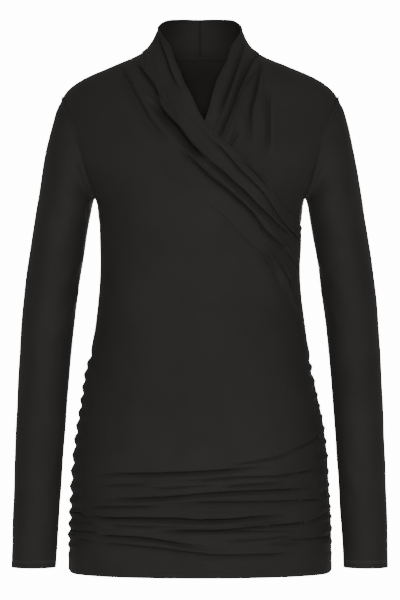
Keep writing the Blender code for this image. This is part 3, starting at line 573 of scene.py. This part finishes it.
def crease_move(points, line, crease, open_side=None):
    """Return how far one crease lifts each point and how far it slides it along the cloth.

    A trough draws the cloth on both sides towards it, so that its lips close in. A trough with an open side
    is steep on the other side, where it runs in under the cloth that hangs over it.
    """
    near = crease.spread * CREASE_REACH
    low = line.min(axis=0) - near
    high = line.max(axis=0) + near
    inside = np.all((points > low) & (points < high), axis=-1)
    stand = np.zeros(points.shape[:-1])
    slide = np.zeros(points.shape)
    if not inside.any():
        return stand, slide
    spots = points[inside]
    run = line[1:] - line[:-1]
    length = np.linalg.norm(run, axis=1)
    away = spots[:, None, :] - line[None, :-1, :]
    share = np.clip(np.sum(away * run, axis=2) / length ** 2, 0, 1)
    distance = np.linalg.norm(away - share[..., None] * run, axis=2)
    nearest = distance.argmin(axis=1)
    pick = np.arange(len(spots))
    done = np.concatenate([[0], np.cumsum(length)])
    place = (done[nearest] + share[pick, nearest] * length[nearest]) / done[-1]
    fade = np.ones(len(spots))
    if crease.fade_in:
        fade *= smooth_step(place / crease.fade_in)
    if crease.fade_out:
        fade *= smooth_step((1 - place) / crease.fade_out)
    offset = away[pick, nearest] - share[pick, nearest][:, None] * run[nearest]
    reach = distance[pick, nearest] / crease.spread
    shape = np.exp(-reach ** 2)
    if crease.stand < 0:
        slide[inside] = -offset * (PINCH * fade * np.exp(-0.5 * reach ** 2))[:, None]
        if open_side is not None:
            open_side = np.array(open_side, float) / np.linalg.norm(open_side)
            steep = min(max(STEEPNESS * crease.spread, STEEPNESS_LIMITS[0]), STEEPNESS_LIMITS[1])
            power = OPEN_SIDE_POWERS[0] if crease.spread > WIDE_TROUGH else OPEN_SIDE_POWERS[1]
            shape = np.where(offset @ open_side > 0, np.exp(-reach ** power), np.exp(-(steep * reach) ** 2))
            slide[inside] += (TUCK * crease.stand * fade * shape)[:, None] * open_side
    stand[inside] = crease.stand * fade * shape
    return stand, slide


def creased(base, stand, creases, open_side):
    """Return the base points and stands after all the creases."""
    slides = np.zeros(base.shape)
    for crease in creases:
        lift, slide = crease_move(base, crease_line(crease), crease, open_side)
        stand = stand + lift
        slides += slide
    return base + slides, stand


def crease_line(crease, behind=False):
    """Return the crease's places, seen from the front, as a smooth line on the body form."""
    places = np.array(crease.places, float)
    reach = running_length(places)
    spots = smooth_curve(reach, places)(np.linspace(0, reach[-1], CREASE_SAMPLES * len(places)))
    return on_body(angle_at(spots[:, 0], spots[:, 1], behind), spots[:, 1])


def gather_stands(points, gathers, side, behind):
    """Return the stand of the short gathers at one side seam, as troughs with a ridge under each."""
    stand = np.zeros(points.shape[:-1])
    for number, gather in enumerate(gathers):
        reach = np.linspace(0, gather.reach * (BACK_GATHER_REACH if behind else 1.0), GATHER_SAMPLES)
        slope = 0.0 if behind else gather.slope
        lower = gathers[number + 1].z if number + 1 < len(gathers) else gather.z - GATHER_STEP
        for z, stands in ((gather.z, gather.stand), ((gather.z + lower) / 2, -GATHER_RIDGE * gather.stand)):
            heights = z - slope * reach
            turned = np.degrees(reach / SIDE_RADIUS)
            angle = side * (90 + turned if behind else 90 - turned)
            line = on_body(angle, heights)
            crease = Crease(None, GATHER_SPREAD, stands, 0.0, GATHER_FADE)
            stand += crease_move(points, line, crease)[0]
    return stand


def unevenness(points, size, depth):
    """Return a soft wandering of the cloth surface of the given size and depth."""
    flat = points.reshape(-1, 3) / size
    values = [noise.noise(Vector(point)) for point in flat]
    return depth * np.array(values).reshape(points.shape[:-1])


def tube_normals(points):
    """Return the directions out of a closed grid of points whose rows go down and columns go round."""
    wide = np.concatenate([points[:, -2:-1], points, points[:, 1:2]], axis=1)
    along = wide[:, 2:] - wide[:, :-2]
    down = np.gradient(points, axis=0)
    out = np.cross(down, along)
    return out / np.linalg.norm(out, axis=-1, keepdims=True)


def seam_dip(points, edges):
    """Return a trough along edges of a grid, as (axis, end) pairs, where the cloth turns in at a seam."""
    dip = np.zeros(points.shape[:2])
    for axis, end in edges:
        if end:
            distance = np.flip(running_length(np.flip(points, axis=axis), axis), axis=axis)
        else:
            distance = running_length(points, axis)
        dip -= SEAM_DIP * np.exp(-(distance / SEAM_DIP_WIDTH) ** 2)
    return dip


def with_allowance(points, normals, axis, end):
    """Add the overlocked allowance along one edge of a grid: a strip that lies under the next piece."""
    count = points.shape[axis]
    edge, inner = (np.take(points, [k], axis=axis) for k in ((count - 1, count - 2) if end else (0, 1)))
    edge_normals = np.take(normals, [count - 1 if end else 0], axis=axis)
    ahead = edge - inner
    ahead /= np.linalg.norm(ahead, axis=-1, keepdims=True)
    strip = edge + ahead * ALLOWANCE - edge_normals * ALLOWANCE_DROP
    parts, normal_parts = [strip, points], [edge_normals, normals]
    if end:
        parts.reverse()
        normal_parts.reverse()
    return np.concatenate(parts, axis=axis), np.concatenate(normal_parts, axis=axis)


def mesh_from(bm, name):
    """Make a mesh from a bmesh and free the bmesh."""
    mesh = bpy.data.meshes.new(name)
    bm.to_mesh(mesh)
    bm.free()
    return mesh


def new_piece(name, mesh, material):
    """Make an object of a mesh at the origin, with its material."""
    mesh.materials.append(material)
    piece = bpy.data.objects.new(name, mesh)
    bpy.context.collection.objects.link(piece)
    return piece


def grid_bmesh(points, closed=False):
    """Return a bmesh of a grid through the points, with a cut-size UV map in metres."""
    rows, columns = points.shape[0] - 1, points.shape[1] - 1
    bm = bmesh.new()
    bmesh.ops.create_grid(bm, x_segments=columns, y_segments=rows, size=0.5)
    uv_layer = bm.loops.layers.uv.new("cut")
    across = running_length(points, 1)
    across -= across[:, columns // 2:columns // 2 + 1]
    down = running_length(points, 0)
    spots = {}
    for vert in bm.verts:
        column = round((vert.co.x + 0.5) * columns)
        row = round((vert.co.y + 0.5) * rows)
        spots[vert] = (row, column)
    for face in bm.faces:
        for loop in face.loops:
            row, column = spots[loop.vert]
            loop[uv_layer].uv = (across[row, column] * MM, -down[row, column] * MM)
    for vert, (row, column) in spots.items():
        vert.co = Vector(points[row, column]) * MM
    if closed:
        bmesh.ops.remove_doubles(bm, verts=bm.verts[:], dist=1e-6)
    return bm


def cloth_object(name, points, outwards, thickness, material, closed=False):
    """Make a piece of cloth: a smooth sheet on its points, turned outwards, with its thickness inwards."""
    bm = grid_bmesh(points, closed)
    face = bm.faces[:][len(bm.faces) // 2]
    face.normal_update()
    if face.normal.dot(outwards(face.calc_center_median())) < 0:
        bmesh.ops.reverse_faces(bm, faces=bm.faces[:])
    mesh = mesh_from(bm, name)
    mesh.shade_smooth()
    piece = new_piece(name, mesh, material)
    wall = piece.modifiers.new("cloth_thickness", "SOLIDIFY")
    wall.thickness = thickness * MM
    wall.offset = -1
    return piece


def fold_edge(name, points, normals, radius, material):
    """Make the rounded fold of a free edge: a thin roll along a line of points, thinner at its start."""
    ahead = np.gradient(points, axis=0)
    ahead /= np.linalg.norm(ahead, axis=1, keepdims=True)
    side = np.cross(ahead, normals)
    side /= np.linalg.norm(side, axis=1, keepdims=True)
    out = np.cross(side, ahead)
    turn = np.radians(np.linspace(0, 360, EDGE_SIDES + 1))[None, :, None]
    ring = np.cos(turn) * side[:, None, :] + np.sin(turn) * out[:, None, :]
    taper = mix(EDGE_START, 1, smooth_step(np.linspace(0, len(points) / EDGE_TAPER, len(points))))
    grid = points[:, None, :] + ring * (radius * taper)[:, None, None]
    bm = grid_bmesh(grid, closed=True)
    bmesh.ops.holes_fill(bm, edges=[edge for edge in bm.edges if edge.is_boundary], sides=0)
    bmesh.ops.recalc_face_normals(bm, faces=bm.faces[:])
    mesh = mesh_from(bm, name)
    mesh.shade_smooth()
    return new_piece(name, mesh, material)


def stitch_row(name, line, normals, length, gap, radius, material):
    """Make a row of sewn stitches along a line of points, each a small flattened bead of thread."""
    reach = running_length(line)
    count = max(1, int(reach[-1] / (length + gap)))
    pitch = reach[-1] / count
    bm = bmesh.new()
    for number in range(count):
        middle = (number + 0.5) * pitch
        spots = [np.array([np.interp(middle + shift, reach, line[:, k]) for k in range(3)])
                 for shift in (-length / 2, 0, length / 2)]
        out = np.array([np.interp(middle, reach, normals[:, k]) for k in range(3)])
        out /= np.linalg.norm(out)
        ahead = spots[2] - spots[0]
        ahead /= np.linalg.norm(ahead)
        side = np.cross(out, ahead)
        axes = np.stack([ahead * length / 2, side * radius, out * radius * STITCH_FLATNESS], axis=1) * MM
        made = bmesh.ops.create_icosphere(bm, subdivisions=1, radius=1.0)
        for vert in made["verts"]:
            vert.co = Vector(axes @ np.array(vert.co) + (spots[1] + out * radius * STITCH_RISE) * MM)
    mesh = mesh_from(bm, name)
    mesh.shade_smooth()
    return new_piece(name, mesh, material)


def add_node(tree, kind, settings=None, links=None):
    """Add a node with its settings and with links from (node, output) pairs to its named inputs."""
    node = tree.nodes.new(kind)
    for name, value in (settings or {}).items():
        if hasattr(node, name):
            setattr(node, name, value)
        else:
            node.inputs[name].default_value = value
    for name, (source, output) in (links or {}).items():
        tree.links.new(source.outputs[output], node.inputs[name])
    return node


def new_material(name, values):
    """Make a material with values on its shader's sockets, and return it, its node tree and the shader."""
    material = bpy.data.materials.new(name)
    material.use_nodes = True
    shader = material.node_tree.nodes["Principled BSDF"]
    for socket, value in values.items():
        shader.inputs[socket].default_value = value
    return material, material.node_tree, shader


def cotton_jersey(name, colour):
    """Return piece-dyed cotton jersey, a fine weft knit: fuzzy and nearly matt, with a faint glow."""
    material, tree, shader = new_material(name, {
        "Roughness": 0.82, "IOR": 1.45, "Specular IOR Level": 0.2, "Sheen Weight": 0.015,
        "Sheen Roughness": 0.5, "Sheen Tint": (0.9, 0.88, 0.86, 1)})
    cut = add_node(tree, "ShaderNodeUVMap", {"uv_map": "cut"})
    # Wales of a fine jersey are about 0.7 mm apart; they are drawn 1.3 mm apart so that they show at all
    wales, courses = (add_node(tree, "ShaderNodeTexWave", {
        "wave_type": "BANDS", "bands_direction": direction, "Scale": scale, "Distortion": distortion,
        "Detail": 2.0, "Detail Scale": 3.0}, {"Vector": (cut, "UV")})
        for direction, scale, distortion in (("X", 240.0, 1.2), ("Y", 300.0, 1.5)))
    loops = add_node(tree, "ShaderNodeMath", {"operation": "MULTIPLY"},
                     {0: (wales, "Fac"), 1: (courses, "Fac")})
    place = add_node(tree, "ShaderNodeTexCoord")
    # Fibre fuzz, about 1.5 mm across
    fuzz = add_node(tree, "ShaderNodeTexNoise", {"Scale": 650.0, "Detail": 3.0, "Roughness": 0.6},
                    {"Vector": (place, "Object")})
    # Wear and handling, about 60 mm across
    patches = add_node(tree, "ShaderNodeTexNoise", {"Scale": 16.0, "Detail": 2.0, "Roughness": 0.5},
                       {"Vector": (place, "Object")})
    tone, speck = (add_node(tree, "ShaderNodeMapRange", {
        "From Min": 0.3, "From Max": 0.7, "To Min": low, "To Max": high}, {"Value": (cloud, "Fac")})
        for cloud, low, high in ((patches, 0.86, 1.12), (fuzz, 0.9, 1.1)))
    both = add_node(tree, "ShaderNodeMath", {"operation": "MULTIPLY"},
                    {0: (tone, "Result"), 1: (speck, "Result")})
    dyed = add_node(tree, "ShaderNodeVectorMath", {"operation": "SCALE"}, {"Scale": (both, "Value")})
    dyed.inputs[0].default_value = colour
    height = add_node(tree, "ShaderNodeMath", {"operation": "ADD"}, {0: (loops, "Value"), 1: (fuzz, "Fac")})
    bump = add_node(tree, "ShaderNodeBump", {"Strength": 0.45, "Distance": 0.0002},
                    {"Height": (height, "Value")})
    tree.links.new(dyed.outputs["Vector"], shader.inputs["Base Color"])
    tree.links.new(bump.outputs["Normal"], shader.inputs["Normal"])
    return material


def sewing_thread(name, colour):
    """Return spun polyester sewing thread, a little smoother and brighter than the cloth round it."""
    material, tree, shader = new_material(name, {
        "Base Color": (*colour, 1), "Roughness": 0.55, "Sheen Weight": 0.05})
    place = add_node(tree, "ShaderNodeTexCoord")
    # Twist of the thread, about 0.5 mm
    twist = add_node(tree, "ShaderNodeTexNoise", {"Scale": 1800.0, "Detail": 2.0},
                     {"Vector": (place, "Object")})
    bump = add_node(tree, "ShaderNodeBump", {"Strength": 0.4, "Distance": 0.0001},
                    {"Height": (twist, "Fac")})
    tree.links.new(bump.outputs["Normal"], shader.inputs["Normal"])
    return material


def finish_piece(piece, nodes):
    """Join a piece to the frame: the body it rides on, and hide the nodes it stands for."""
    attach(piece, "root")
    if nodes:
        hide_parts(*nodes)


def outwards_from_axis(point):
    """Return the direction out of the body at a point."""
    return Vector((point.x, point.y, 0))


def sleeve_outwards(side):
    """Return a function for the direction out of one sleeve, whose middle line leans outwards."""
    def outwards(point):
        axis_x = side * np.interp(-point.z / MM, [120, 240, 680], [170, 190, 223]) * MM
        return Vector((point.x - axis_x, point.y, 0))

    return outwards


def edge_of_outer(base):
    """Return the part of the outer front's free edge that crosses the chest, as (x, z)."""
    edge = base[0]
    lowest = np.radians(NECKLINE_ANGLE)
    chest = (np.arctan2(edge[:, 0], -edge[:, 1]) > lowest) & (edge[:, 1] < 0)
    return edge[chest][:, [0, 2]]


def outer_room(base, wanted, outer_base, outer_stand):
    """Return how far the under front may stand out beneath the outer front, at the wanted places."""
    tree = KDTree(outer_stand.size)
    for number, point in enumerate(outer_base.reshape(-1, 3)):
        tree.insert(point, number)
    tree.balance()
    stands = outer_stand.reshape(-1)
    room = np.full(base.shape[:2], FREE_ROOM)
    for row, column in zip(*np.nonzero(wanted)):
        near = tree.find_n(base[row, column], ROOM_NEIGHBOURS)
        room[row, column] = min(stands[number] for _, number, _ in near) - LAYER_GAP
    return room


def depth_below(points, edge):
    """Return how far points seen from the front lie below the outer front's free edge."""
    run = edge[1:] - edge[:-1]
    away = points[..., None, :] - edge[:-1]
    share = np.clip(np.sum(away * run, axis=-1) / np.sum(run * run, axis=-1), 0, 1)
    offset = away - share[..., None] * run
    distance = np.linalg.norm(offset, axis=-1)
    nearest = distance.argmin(axis=-1)[..., None]
    best = np.take_along_axis(distance, nearest, axis=-1)[..., 0]
    cross = run[:, 0] * offset[..., 1] - run[:, 1] * offset[..., 0]
    below = np.take_along_axis(cross, nearest, axis=-1)[..., 0] < 0
    return np.where(below, best, -best)


def outer_sheet():
    """Return the outer front's sheet, with its rows closest over the hip folds."""
    rows = spaced_rows([(0, 12, 90), (12, 21, 60), (21, 30, 30), (30, 41, 60), (41, 60, 220), (60, 63, 12)])
    return front_sheet(OUTER_GUIDES, OUTER_SIDE_SEAM, OUTER_COLUMNS, rows)


def outer_points(fold_share):
    """Return the outer front's base, stands and normals, with its wrap folds, hip creases and gathers."""
    angle, z, stand = np.moveaxis(outer_sheet(), -1, 0)
    base = on_body(angle, z)
    stand = stand * fold_share
    stand += gather_stands(base, LEFT_GATHERS, 1, False) + gather_stands(base, RIGHT_GATHERS, -1, False)
    stand += unevenness(base, BROAD_WAVE, 0.7) + unevenness(base, FINE_WAVE, 0.25)
    stand += seam_dip(base, [(1, 0), (1, 1)])
    for creases, open_side in ((WRAP_CREASES, WRAP_OPEN_SIDE), (HIP_CREASES, HIP_OPEN_SIDE)):
        base, stand = creased(base, stand, creases, open_side)
    return base, stand, body_normal(angle, z)


def under_points(outer, fold_share):
    """Return the under front's base, stands and normals, pressed flat where the outer front lies on it."""
    rows = spaced_rows([(0, 12, 84), (12, 23, 40), (23, 34, 40)])
    sheet = front_sheet(UNDER_GUIDES, UNDER_SIDE_SEAM, UNDER_COLUMNS, rows)
    angle, z, stand = np.moveaxis(sheet, -1, 0)
    base = on_body(-angle, z)
    stand = stand * fold_share
    base, stand = creased(base, stand, UNDER_CREASES, UNDER_OPEN_SIDE)
    stand += unevenness(base, BROAD_WAVE, 0.6) + unevenness(base, FINE_WAVE, 0.2)
    stand += seam_dip(base, [(1, 0)])
    depth = depth_below(base[..., [0, 2]], edge_of_outer(outer[0]))
    covered = np.where(angle > CROSSING_ANGLE, 1.0, smooth_step((depth + PRESSED_OVER) / PRESSED_OVER))
    room = outer_room(base, covered > 0, *outer)
    stand = mix(stand, np.minimum(stand, room), covered)
    return base, stand, body_normal(-angle, z)


def back_points():
    """Return the back's surface: a yoke between shoulders, neck and armholes, then down to the hem."""
    neck = np.linspace(90, 270, NECK_COLUMNS + 1)
    shoulder = np.linspace(0, 1, SHOULDER_COLUMNS, endpoint=False)
    top_angle = np.concatenate([np.full(SHOULDER_COLUMNS, 90.0), neck, np.full(SHOULDER_COLUMNS, 270.0)])
    shoulder_z = mix(SHOULDER_POINT, NECK_POINT, shoulder)
    neck_z = neck_height(np.where(neck <= 180, neck, 360 - neck))
    top_z = np.concatenate([shoulder_z, neck_z, shoulder_z[::-1]])
    across = np.linspace(0, 1, len(top_angle))
    down = np.linspace(0, 1, YOKE_ROWS + 1)[:, None]
    arm_angle, arm_z = armhole(180 * down)
    yoke_angle = mix(top_angle, mix(90.0, 270.0, across), down) + (90 - arm_angle) * (1 - 2 * across)
    yoke_z = mix(top_z, UNDERARM, down) + arm_z - mix(SHOULDER_POINT, UNDERARM, down)
    hem = hem_height(mix(90.0, 270.0, across))
    lower = np.linspace(0, 1, LOWER_BACK_ROWS + 1)[1:, None]
    lower_angle = np.broadcast_to(mix(90.0, 270.0, across), (LOWER_BACK_ROWS, len(across)))
    lower_z = mix(UNDERARM, hem, lower)
    angle = np.concatenate([yoke_angle, lower_angle])
    z = np.concatenate([yoke_z, lower_z])
    base = on_body(angle, z)
    stand = np.zeros(z.shape)
    for crease in BACK_CREASES:
        ridge = crease._replace(places=[(x, h - 2.0 * crease.spread) for x, h in crease.places],
                                stand=-GATHER_RIDGE * crease.stand)
        for part in (crease, ridge):
            stand += crease_move(base, crease_line(part, behind=True), part)[0]
    stand += gather_stands(base, LEFT_GATHERS, 1, True) + gather_stands(base, RIGHT_GATHERS, -1, True)
    stand += unevenness(base, BROAD_WAVE, 0.7) + unevenness(base, FINE_WAVE, 0.25)
    stand += seam_dip(base, [(0, 0), (1, 0), (1, 1)])
    normals = body_normal(angle, z)
    points = base + normals * stand[..., None]
    for axis, end in ((0, 0), (1, 0), (1, 1)):
        points, normals = with_allowance(points, normals, axis, end)
    return points


def sleeve_points(side):
    """Return a sleeve's surface from the armhole to the cuff, with its soft drags, and its normals."""
    turns = np.linspace(0, 360, SLEEVE_COLUMNS + 1)
    rings = spaced_rows([(0, 5, 50), (5, 15, 130)])
    table = smooth_curve(range(len(SLEEVE_RINGS)), SLEEVE_RINGS)(rings)

    def ring_points(row, turn):
        outer_x, outer_z, inner_x, inner_z, middle_y, depth = np.moveaxis(row, -1, 0)
        across = np.cos(np.radians(turn))
        x = side * ((outer_x + inner_x) / 2 + (outer_x - inner_x) / 2 * across)
        y = middle_y - depth * np.sin(np.radians(turn))
        z = (outer_z + inner_z) / 2 + (outer_z - inner_z) / 2 * across
        return np.stack(np.broadcast_arrays(x, y, z), axis=-1)

    arm_angle, arm_z = armhole(np.where(turns <= 180, turns, 360 - turns))
    edge = on_body(side * np.where(turns <= 180, arm_angle, 180 - arm_angle), arm_z)
    shift = edge - ring_points(table[0], turns)
    share = 1 - smooth_step(rings / CAP_RINGS)
    base = ring_points(table[:, None, :], turns[None, :]) + shift[None] * share[:, None, None]
    normals = tube_normals(base) * side
    stand = np.zeros(base.shape[:2])
    spot = smooth_curve(rings, base)
    for crease in SLEEVE_CREASES:
        knots = np.linspace(0, 1, len(crease.places))
        turn, ring = smooth_curve(knots, crease.places)(np.linspace(0, 1, DRAG_SAMPLES)).T
        rows = spot(ring)
        column = turn / 360 * SLEEVE_COLUMNS
        low = np.floor(column).astype(int)
        part = (column - low)[:, None]
        pick = np.arange(len(ring))
        line = rows[pick, low] * (1 - part) + rows[pick, low + 1] * part
        stand += crease_move(base, line, crease)[0]
    stand += unevenness(base + side * SLEEVE_WAVE_SHIFT, SLEEVE_WAVE, 0.8)
    stand += unevenness(base, FINE_WAVE, 0.2)
    stand += seam_dip(base, [(0, 0)])
    stand[:, -1] = stand[:, 0]
    return with_allowance(base + normals * stand[..., None], normals, 0, 0)


def length(name, description, default, least, most):
    """Return a property for a length, given here in millimetres."""
    return FloatProperty(name=name, description=description, default=default * MM, min=least * MM,
                         max=most * MM, unit="LENGTH", precision=4)


class WrapTopSizes(bpy.types.PropertyGroup):
    cloth: length("Cloth", "Thickness of the jersey", 0.8, 0.3, 2.0)
    edge_radius: length("Edge", "Half thickness of the folded neck edge", 1.4, 0.3, 2.0)
    stitch: length("Stitch", "Length of one cuff stitch", 2.4, 1.0, 5.0)
    stitch_gap: length("Stitch gap", "Gap between two stitches", 0.7, 0.2, 3.0)
    hem_depth: length("Hem depth", "Height of the twin stitching above the edge of a cuff", 8.0, 3.0, 30.0)
    folds: FloatProperty(name="Folds", description="Share of the wrap folds' full height", default=1.0,
                         min=0.0, max=1.5, subtype="FACTOR")

    def millimetres(self, name):
        """Return one of the lengths in millimetres."""
        return getattr(self, name) / MM


class WrapTopColours(bpy.types.PropertyGroup):
    jersey: FloatVectorProperty(name="Jersey", description="Dyed colour of the jersey", subtype="COLOR",
                                default=linear("#161412"), min=0.0, max=1.0)
    thread: FloatVectorProperty(name="Thread", description="Colour of the sewing thread", subtype="COLOR",
                                default=linear("#242221"), min=0.0, max=1.0)
    floor: FloatVectorProperty(name="Floor", description="Colour of the floor", subtype="COLOR",
                               default=linear("#f4f4f4"), min=0.0, max=1.0)


def jersey_for(name):
    """Return the jersey of one piece, made once."""
    key = "cotton_jersey_" + name
    colour = tuple(bpy.context.scene.wrap_top_colours.jersey)
    return bpy.data.materials.get(key) or cotton_jersey(key, colour)


def thread_for_sewing():
    """Return the sewing thread, made once."""
    colour = tuple(bpy.context.scene.wrap_top_colours.thread)
    return bpy.data.materials.get("polyester_thread") or sewing_thread("polyester_thread", colour)


def make_front(word, surface):
    """Make the cloth and the folded free edge of one front from its base, stands and normals."""
    sizes = bpy.context.scene.wrap_top_sizes
    cloth = sizes.millimetres("cloth")
    base, stand, normals = surface
    points = base + normals * stand[..., None]
    jersey = jersey_for(word)
    node = "front_" + word
    piece = cloth_object(word + "_front_cloth", points, outwards_from_axis, cloth, jersey)
    finish_piece(piece, (node,))
    line = points[0] - normals[0] * cloth / 2
    radius = sizes.millimetres("edge_radius")
    edge = fold_edge(word + "_front_folded_edge", line, normals[0], radius, jersey)
    finish_piece(edge, ())


class OuterFront(bpy.types.Operator):
    """Make the wearer's right front, which crosses over, with its half of the collar and its folded edge"""
    bl_idname = "wrap_top.outer_front"
    bl_label = "Outer front"

    def execute(self, context):
        make_front("outer", outer_points(context.scene.wrap_top_sizes.folds))
        return {"FINISHED"}


class UnderFront(bpy.types.Operator):
    """Make the wearer's left front, which runs under the other, with its half of the collar"""
    bl_idname = "wrap_top.under_front"
    bl_label = "Under front"

    def execute(self, context):
        folds = context.scene.wrap_top_sizes.folds
        make_front("under", under_points(outer_points(folds)[:2], folds))
        return {"FINISHED"}


class Back(bpy.types.Operator):
    """Make the back with its gathers over the hips"""
    bl_idname = "wrap_top.back"
    bl_label = "Back"

    def execute(self, context):
        cloth = context.scene.wrap_top_sizes.millimetres("cloth")
        piece = cloth_object("back_cloth", back_points(), outwards_from_axis, cloth, jersey_for("back"))
        finish_piece(piece, ("back",))
        return {"FINISHED"}


class Sleeves(bpy.types.Operator):
    """Make both sleeves with their twin-stitched cuffs"""
    bl_idname = "wrap_top.sleeves"
    bl_label = "Sleeves"

    def execute(self, context):
        millimetres = context.scene.wrap_top_sizes.millimetres
        cloth = millimetres("cloth")
        stitch = millimetres("stitch")
        gap = millimetres("stitch_gap")
        for word, side in (("right", -1), ("left", 1)):
            name = "sleeve_" + word
            points, normals = sleeve_points(side)
            piece = cloth_object(name + "_cloth", points, sleeve_outwards(side), cloth,
                                 jersey_for("sleeves"), closed=True)
            finish_piece(piece, (name + "_upper", name + "_lower"))
            heights = points[:, :, 2].mean(axis=1)
            above_cuff = heights - heights[-1]
            for number in (0, 1):
                above = millimetres("hem_depth") + number * TWIN_GAP
                row = int(np.argmin(np.abs(above_cuff - above)))
                stitches = stitch_row(f"{name}_cuff_stitches_{number + 1}", points[row], normals[row],
                                      stitch, gap, STITCH_RADIUS, thread_for_sewing())
                finish_piece(stitches, ())
        return {"FINISHED"}


class Studio(bpy.types.Operator):
    """Make the pale floor, the soft studio light and the camera"""
    bl_idname = "wrap_top.studio"
    bl_label = "Studio"

    FLOOR_Z = -1.4
    FLOOR_RADIUS = 5.0
    BACKDROP_Y = 13.0
    BACKDROP_RADIUS = 3.4
    BACKDROP_LIGHT = 14.0
    CAMERA_DISTANCE = 4.0
    CAMERA_Z = -0.3213
    FIELD_HEIGHT = 0.81
    SENSOR_HEIGHT = 36.0
    # Each soft box: its place, the point it is turned to, its width and its power
    SOFT_BOXES = {
        "low_soft_box": ((0.15, -2.4, -1.25), (0, 0, -0.5), 1.2, 14),
        "front_soft_box": ((-0.08, -4.6, -0.26), (0, 0, -0.35), 0.6, 148),
        "high_soft_box": ((0.6, -4.1, 1.15), (0, 0, -0.35), 0.6, 105),
        "top_soft_box": ((0.1, -0.2, 3.0), (0, 0, -0.3), 2.2, 20),
        "back_soft_box": ((0.4, 4.6, -0.1), (0, 0, -0.4), 1.6, 240),
    }

    def execute(self, context):
        # Matt paint takes a soft shadow and no gleam
        floor_paint = new_material("matt_painted_floor", {
            "Base Color": (*context.scene.wrap_top_colours.floor, 1), "Roughness": 0.9})[0]
        # White paper, lit by itself, gives an even white ground
        lit_paper = new_material("lit_white_paper", {
            "Base Color": (0.9, 0.9, 0.9, 1), "Roughness": 0.95, "Emission Color": (1, 1, 1, 1),
            "Emission Strength": self.BACKDROP_LIGHT})[0]
        self.add_disc("pale_floor", self.FLOOR_RADIUS, 0, (0, 0, self.FLOOR_Z), floor_paint)
        self.add_disc("white_backdrop", self.BACKDROP_RADIUS, 90, (0, self.BACKDROP_Y, 0), lit_paper)
        for name, (place, target, size, power) in self.SOFT_BOXES.items():
            self.add_light(context, name, place, target, size, power)
        world = bpy.data.worlds.new("white_studio")
        world.use_nodes = True
        background = world.node_tree.nodes["Background"]
        background.inputs["Color"].default_value = (1, 1, 1, 1)
        background.inputs["Strength"].default_value = 0.35
        context.scene.world = world
        data = bpy.data.cameras.new("camera")
        data.sensor_fit = "VERTICAL"
        data.sensor_height = self.SENSOR_HEIGHT
        data.lens = self.SENSOR_HEIGHT * self.CAMERA_DISTANCE / self.FIELD_HEIGHT
        camera = bpy.data.objects.new("camera", data)
        camera.location = (0, -self.CAMERA_DISTANCE, self.CAMERA_Z)
        camera.rotation_euler = (math.radians(90), 0, 0)
        context.collection.objects.link(camera)
        context.scene.camera = camera
        return {"FINISHED"}

    def add_disc(self, name, radius, tilt, place, material):
        """Make a flat disc of the stage: the floor, or the far backdrop that fills the front view."""
        bm = bmesh.new()
        bmesh.ops.create_circle(bm, cap_ends=True, segments=96, radius=radius)
        bmesh.ops.rotate(bm, verts=bm.verts[:], matrix=Matrix.Rotation(math.radians(tilt), 3, "X"))
        bmesh.ops.translate(bm, verts=bm.verts[:], vec=place)
        new_piece(name, mesh_from(bm, name), material)

    def add_light(self, context, name, place, target, size, power):
        """Make a round soft box that faces a point."""
        data = bpy.data.lights.new(name, "AREA")
        data.shape = "DISK"
        data.size = size
        data.energy = power
        light = bpy.data.objects.new(name, data)
        light.location = place
        light.rotation_euler = (Vector(target) - Vector(place)).to_track_quat("-Z", "Y").to_euler()
        context.collection.objects.link(light)


OPERATORS = [OuterFront, UnderFront, Back, Sleeves, Studio]


class WrapTopPanel(bpy.types.Panel):
    """Lists the sizes, colours and pieces of the wrap top"""
    bl_idname = "VIEW3D_PT_wrap_top"
    bl_label = "Wrap top"
    bl_space_type = "VIEW_3D"
    bl_region_type = "UI"
    bl_category = "Wrap top"

    def draw(self, context):
        for group in (context.scene.wrap_top_sizes, context.scene.wrap_top_colours):
            for name in group.bl_rna.properties.keys():
                if name not in ("rna_type", "name"):
                    self.layout.prop(group, name)
        for operator in OPERATORS:
            self.layout.operator(operator.bl_idname)


CLASSES = [WrapTopSizes, WrapTopColours, *OPERATORS, WrapTopPanel]


def register():
    for made in CLASSES:
        bpy.utils.register_class(made)
    bpy.types.Scene.wrap_top_sizes = PointerProperty(type=WrapTopSizes)
    bpy.types.Scene.wrap_top_colours = PointerProperty(type=WrapTopColours)


def unregister():
    del bpy.types.Scene.wrap_top_colours
    del bpy.types.Scene.wrap_top_sizes
    for made in reversed(CLASSES):
        bpy.utils.unregister_class(made)


def main():
    """Make every piece and the stage."""
    register()
    bpy.ops.wrap_top.outer_front()
    bpy.ops.wrap_top.under_front()
    bpy.ops.wrap_top.back()
    bpy.ops.wrap_top.sleeves()
    bpy.ops.wrap_top.studio()


if __name__ == "__main__":
    main()
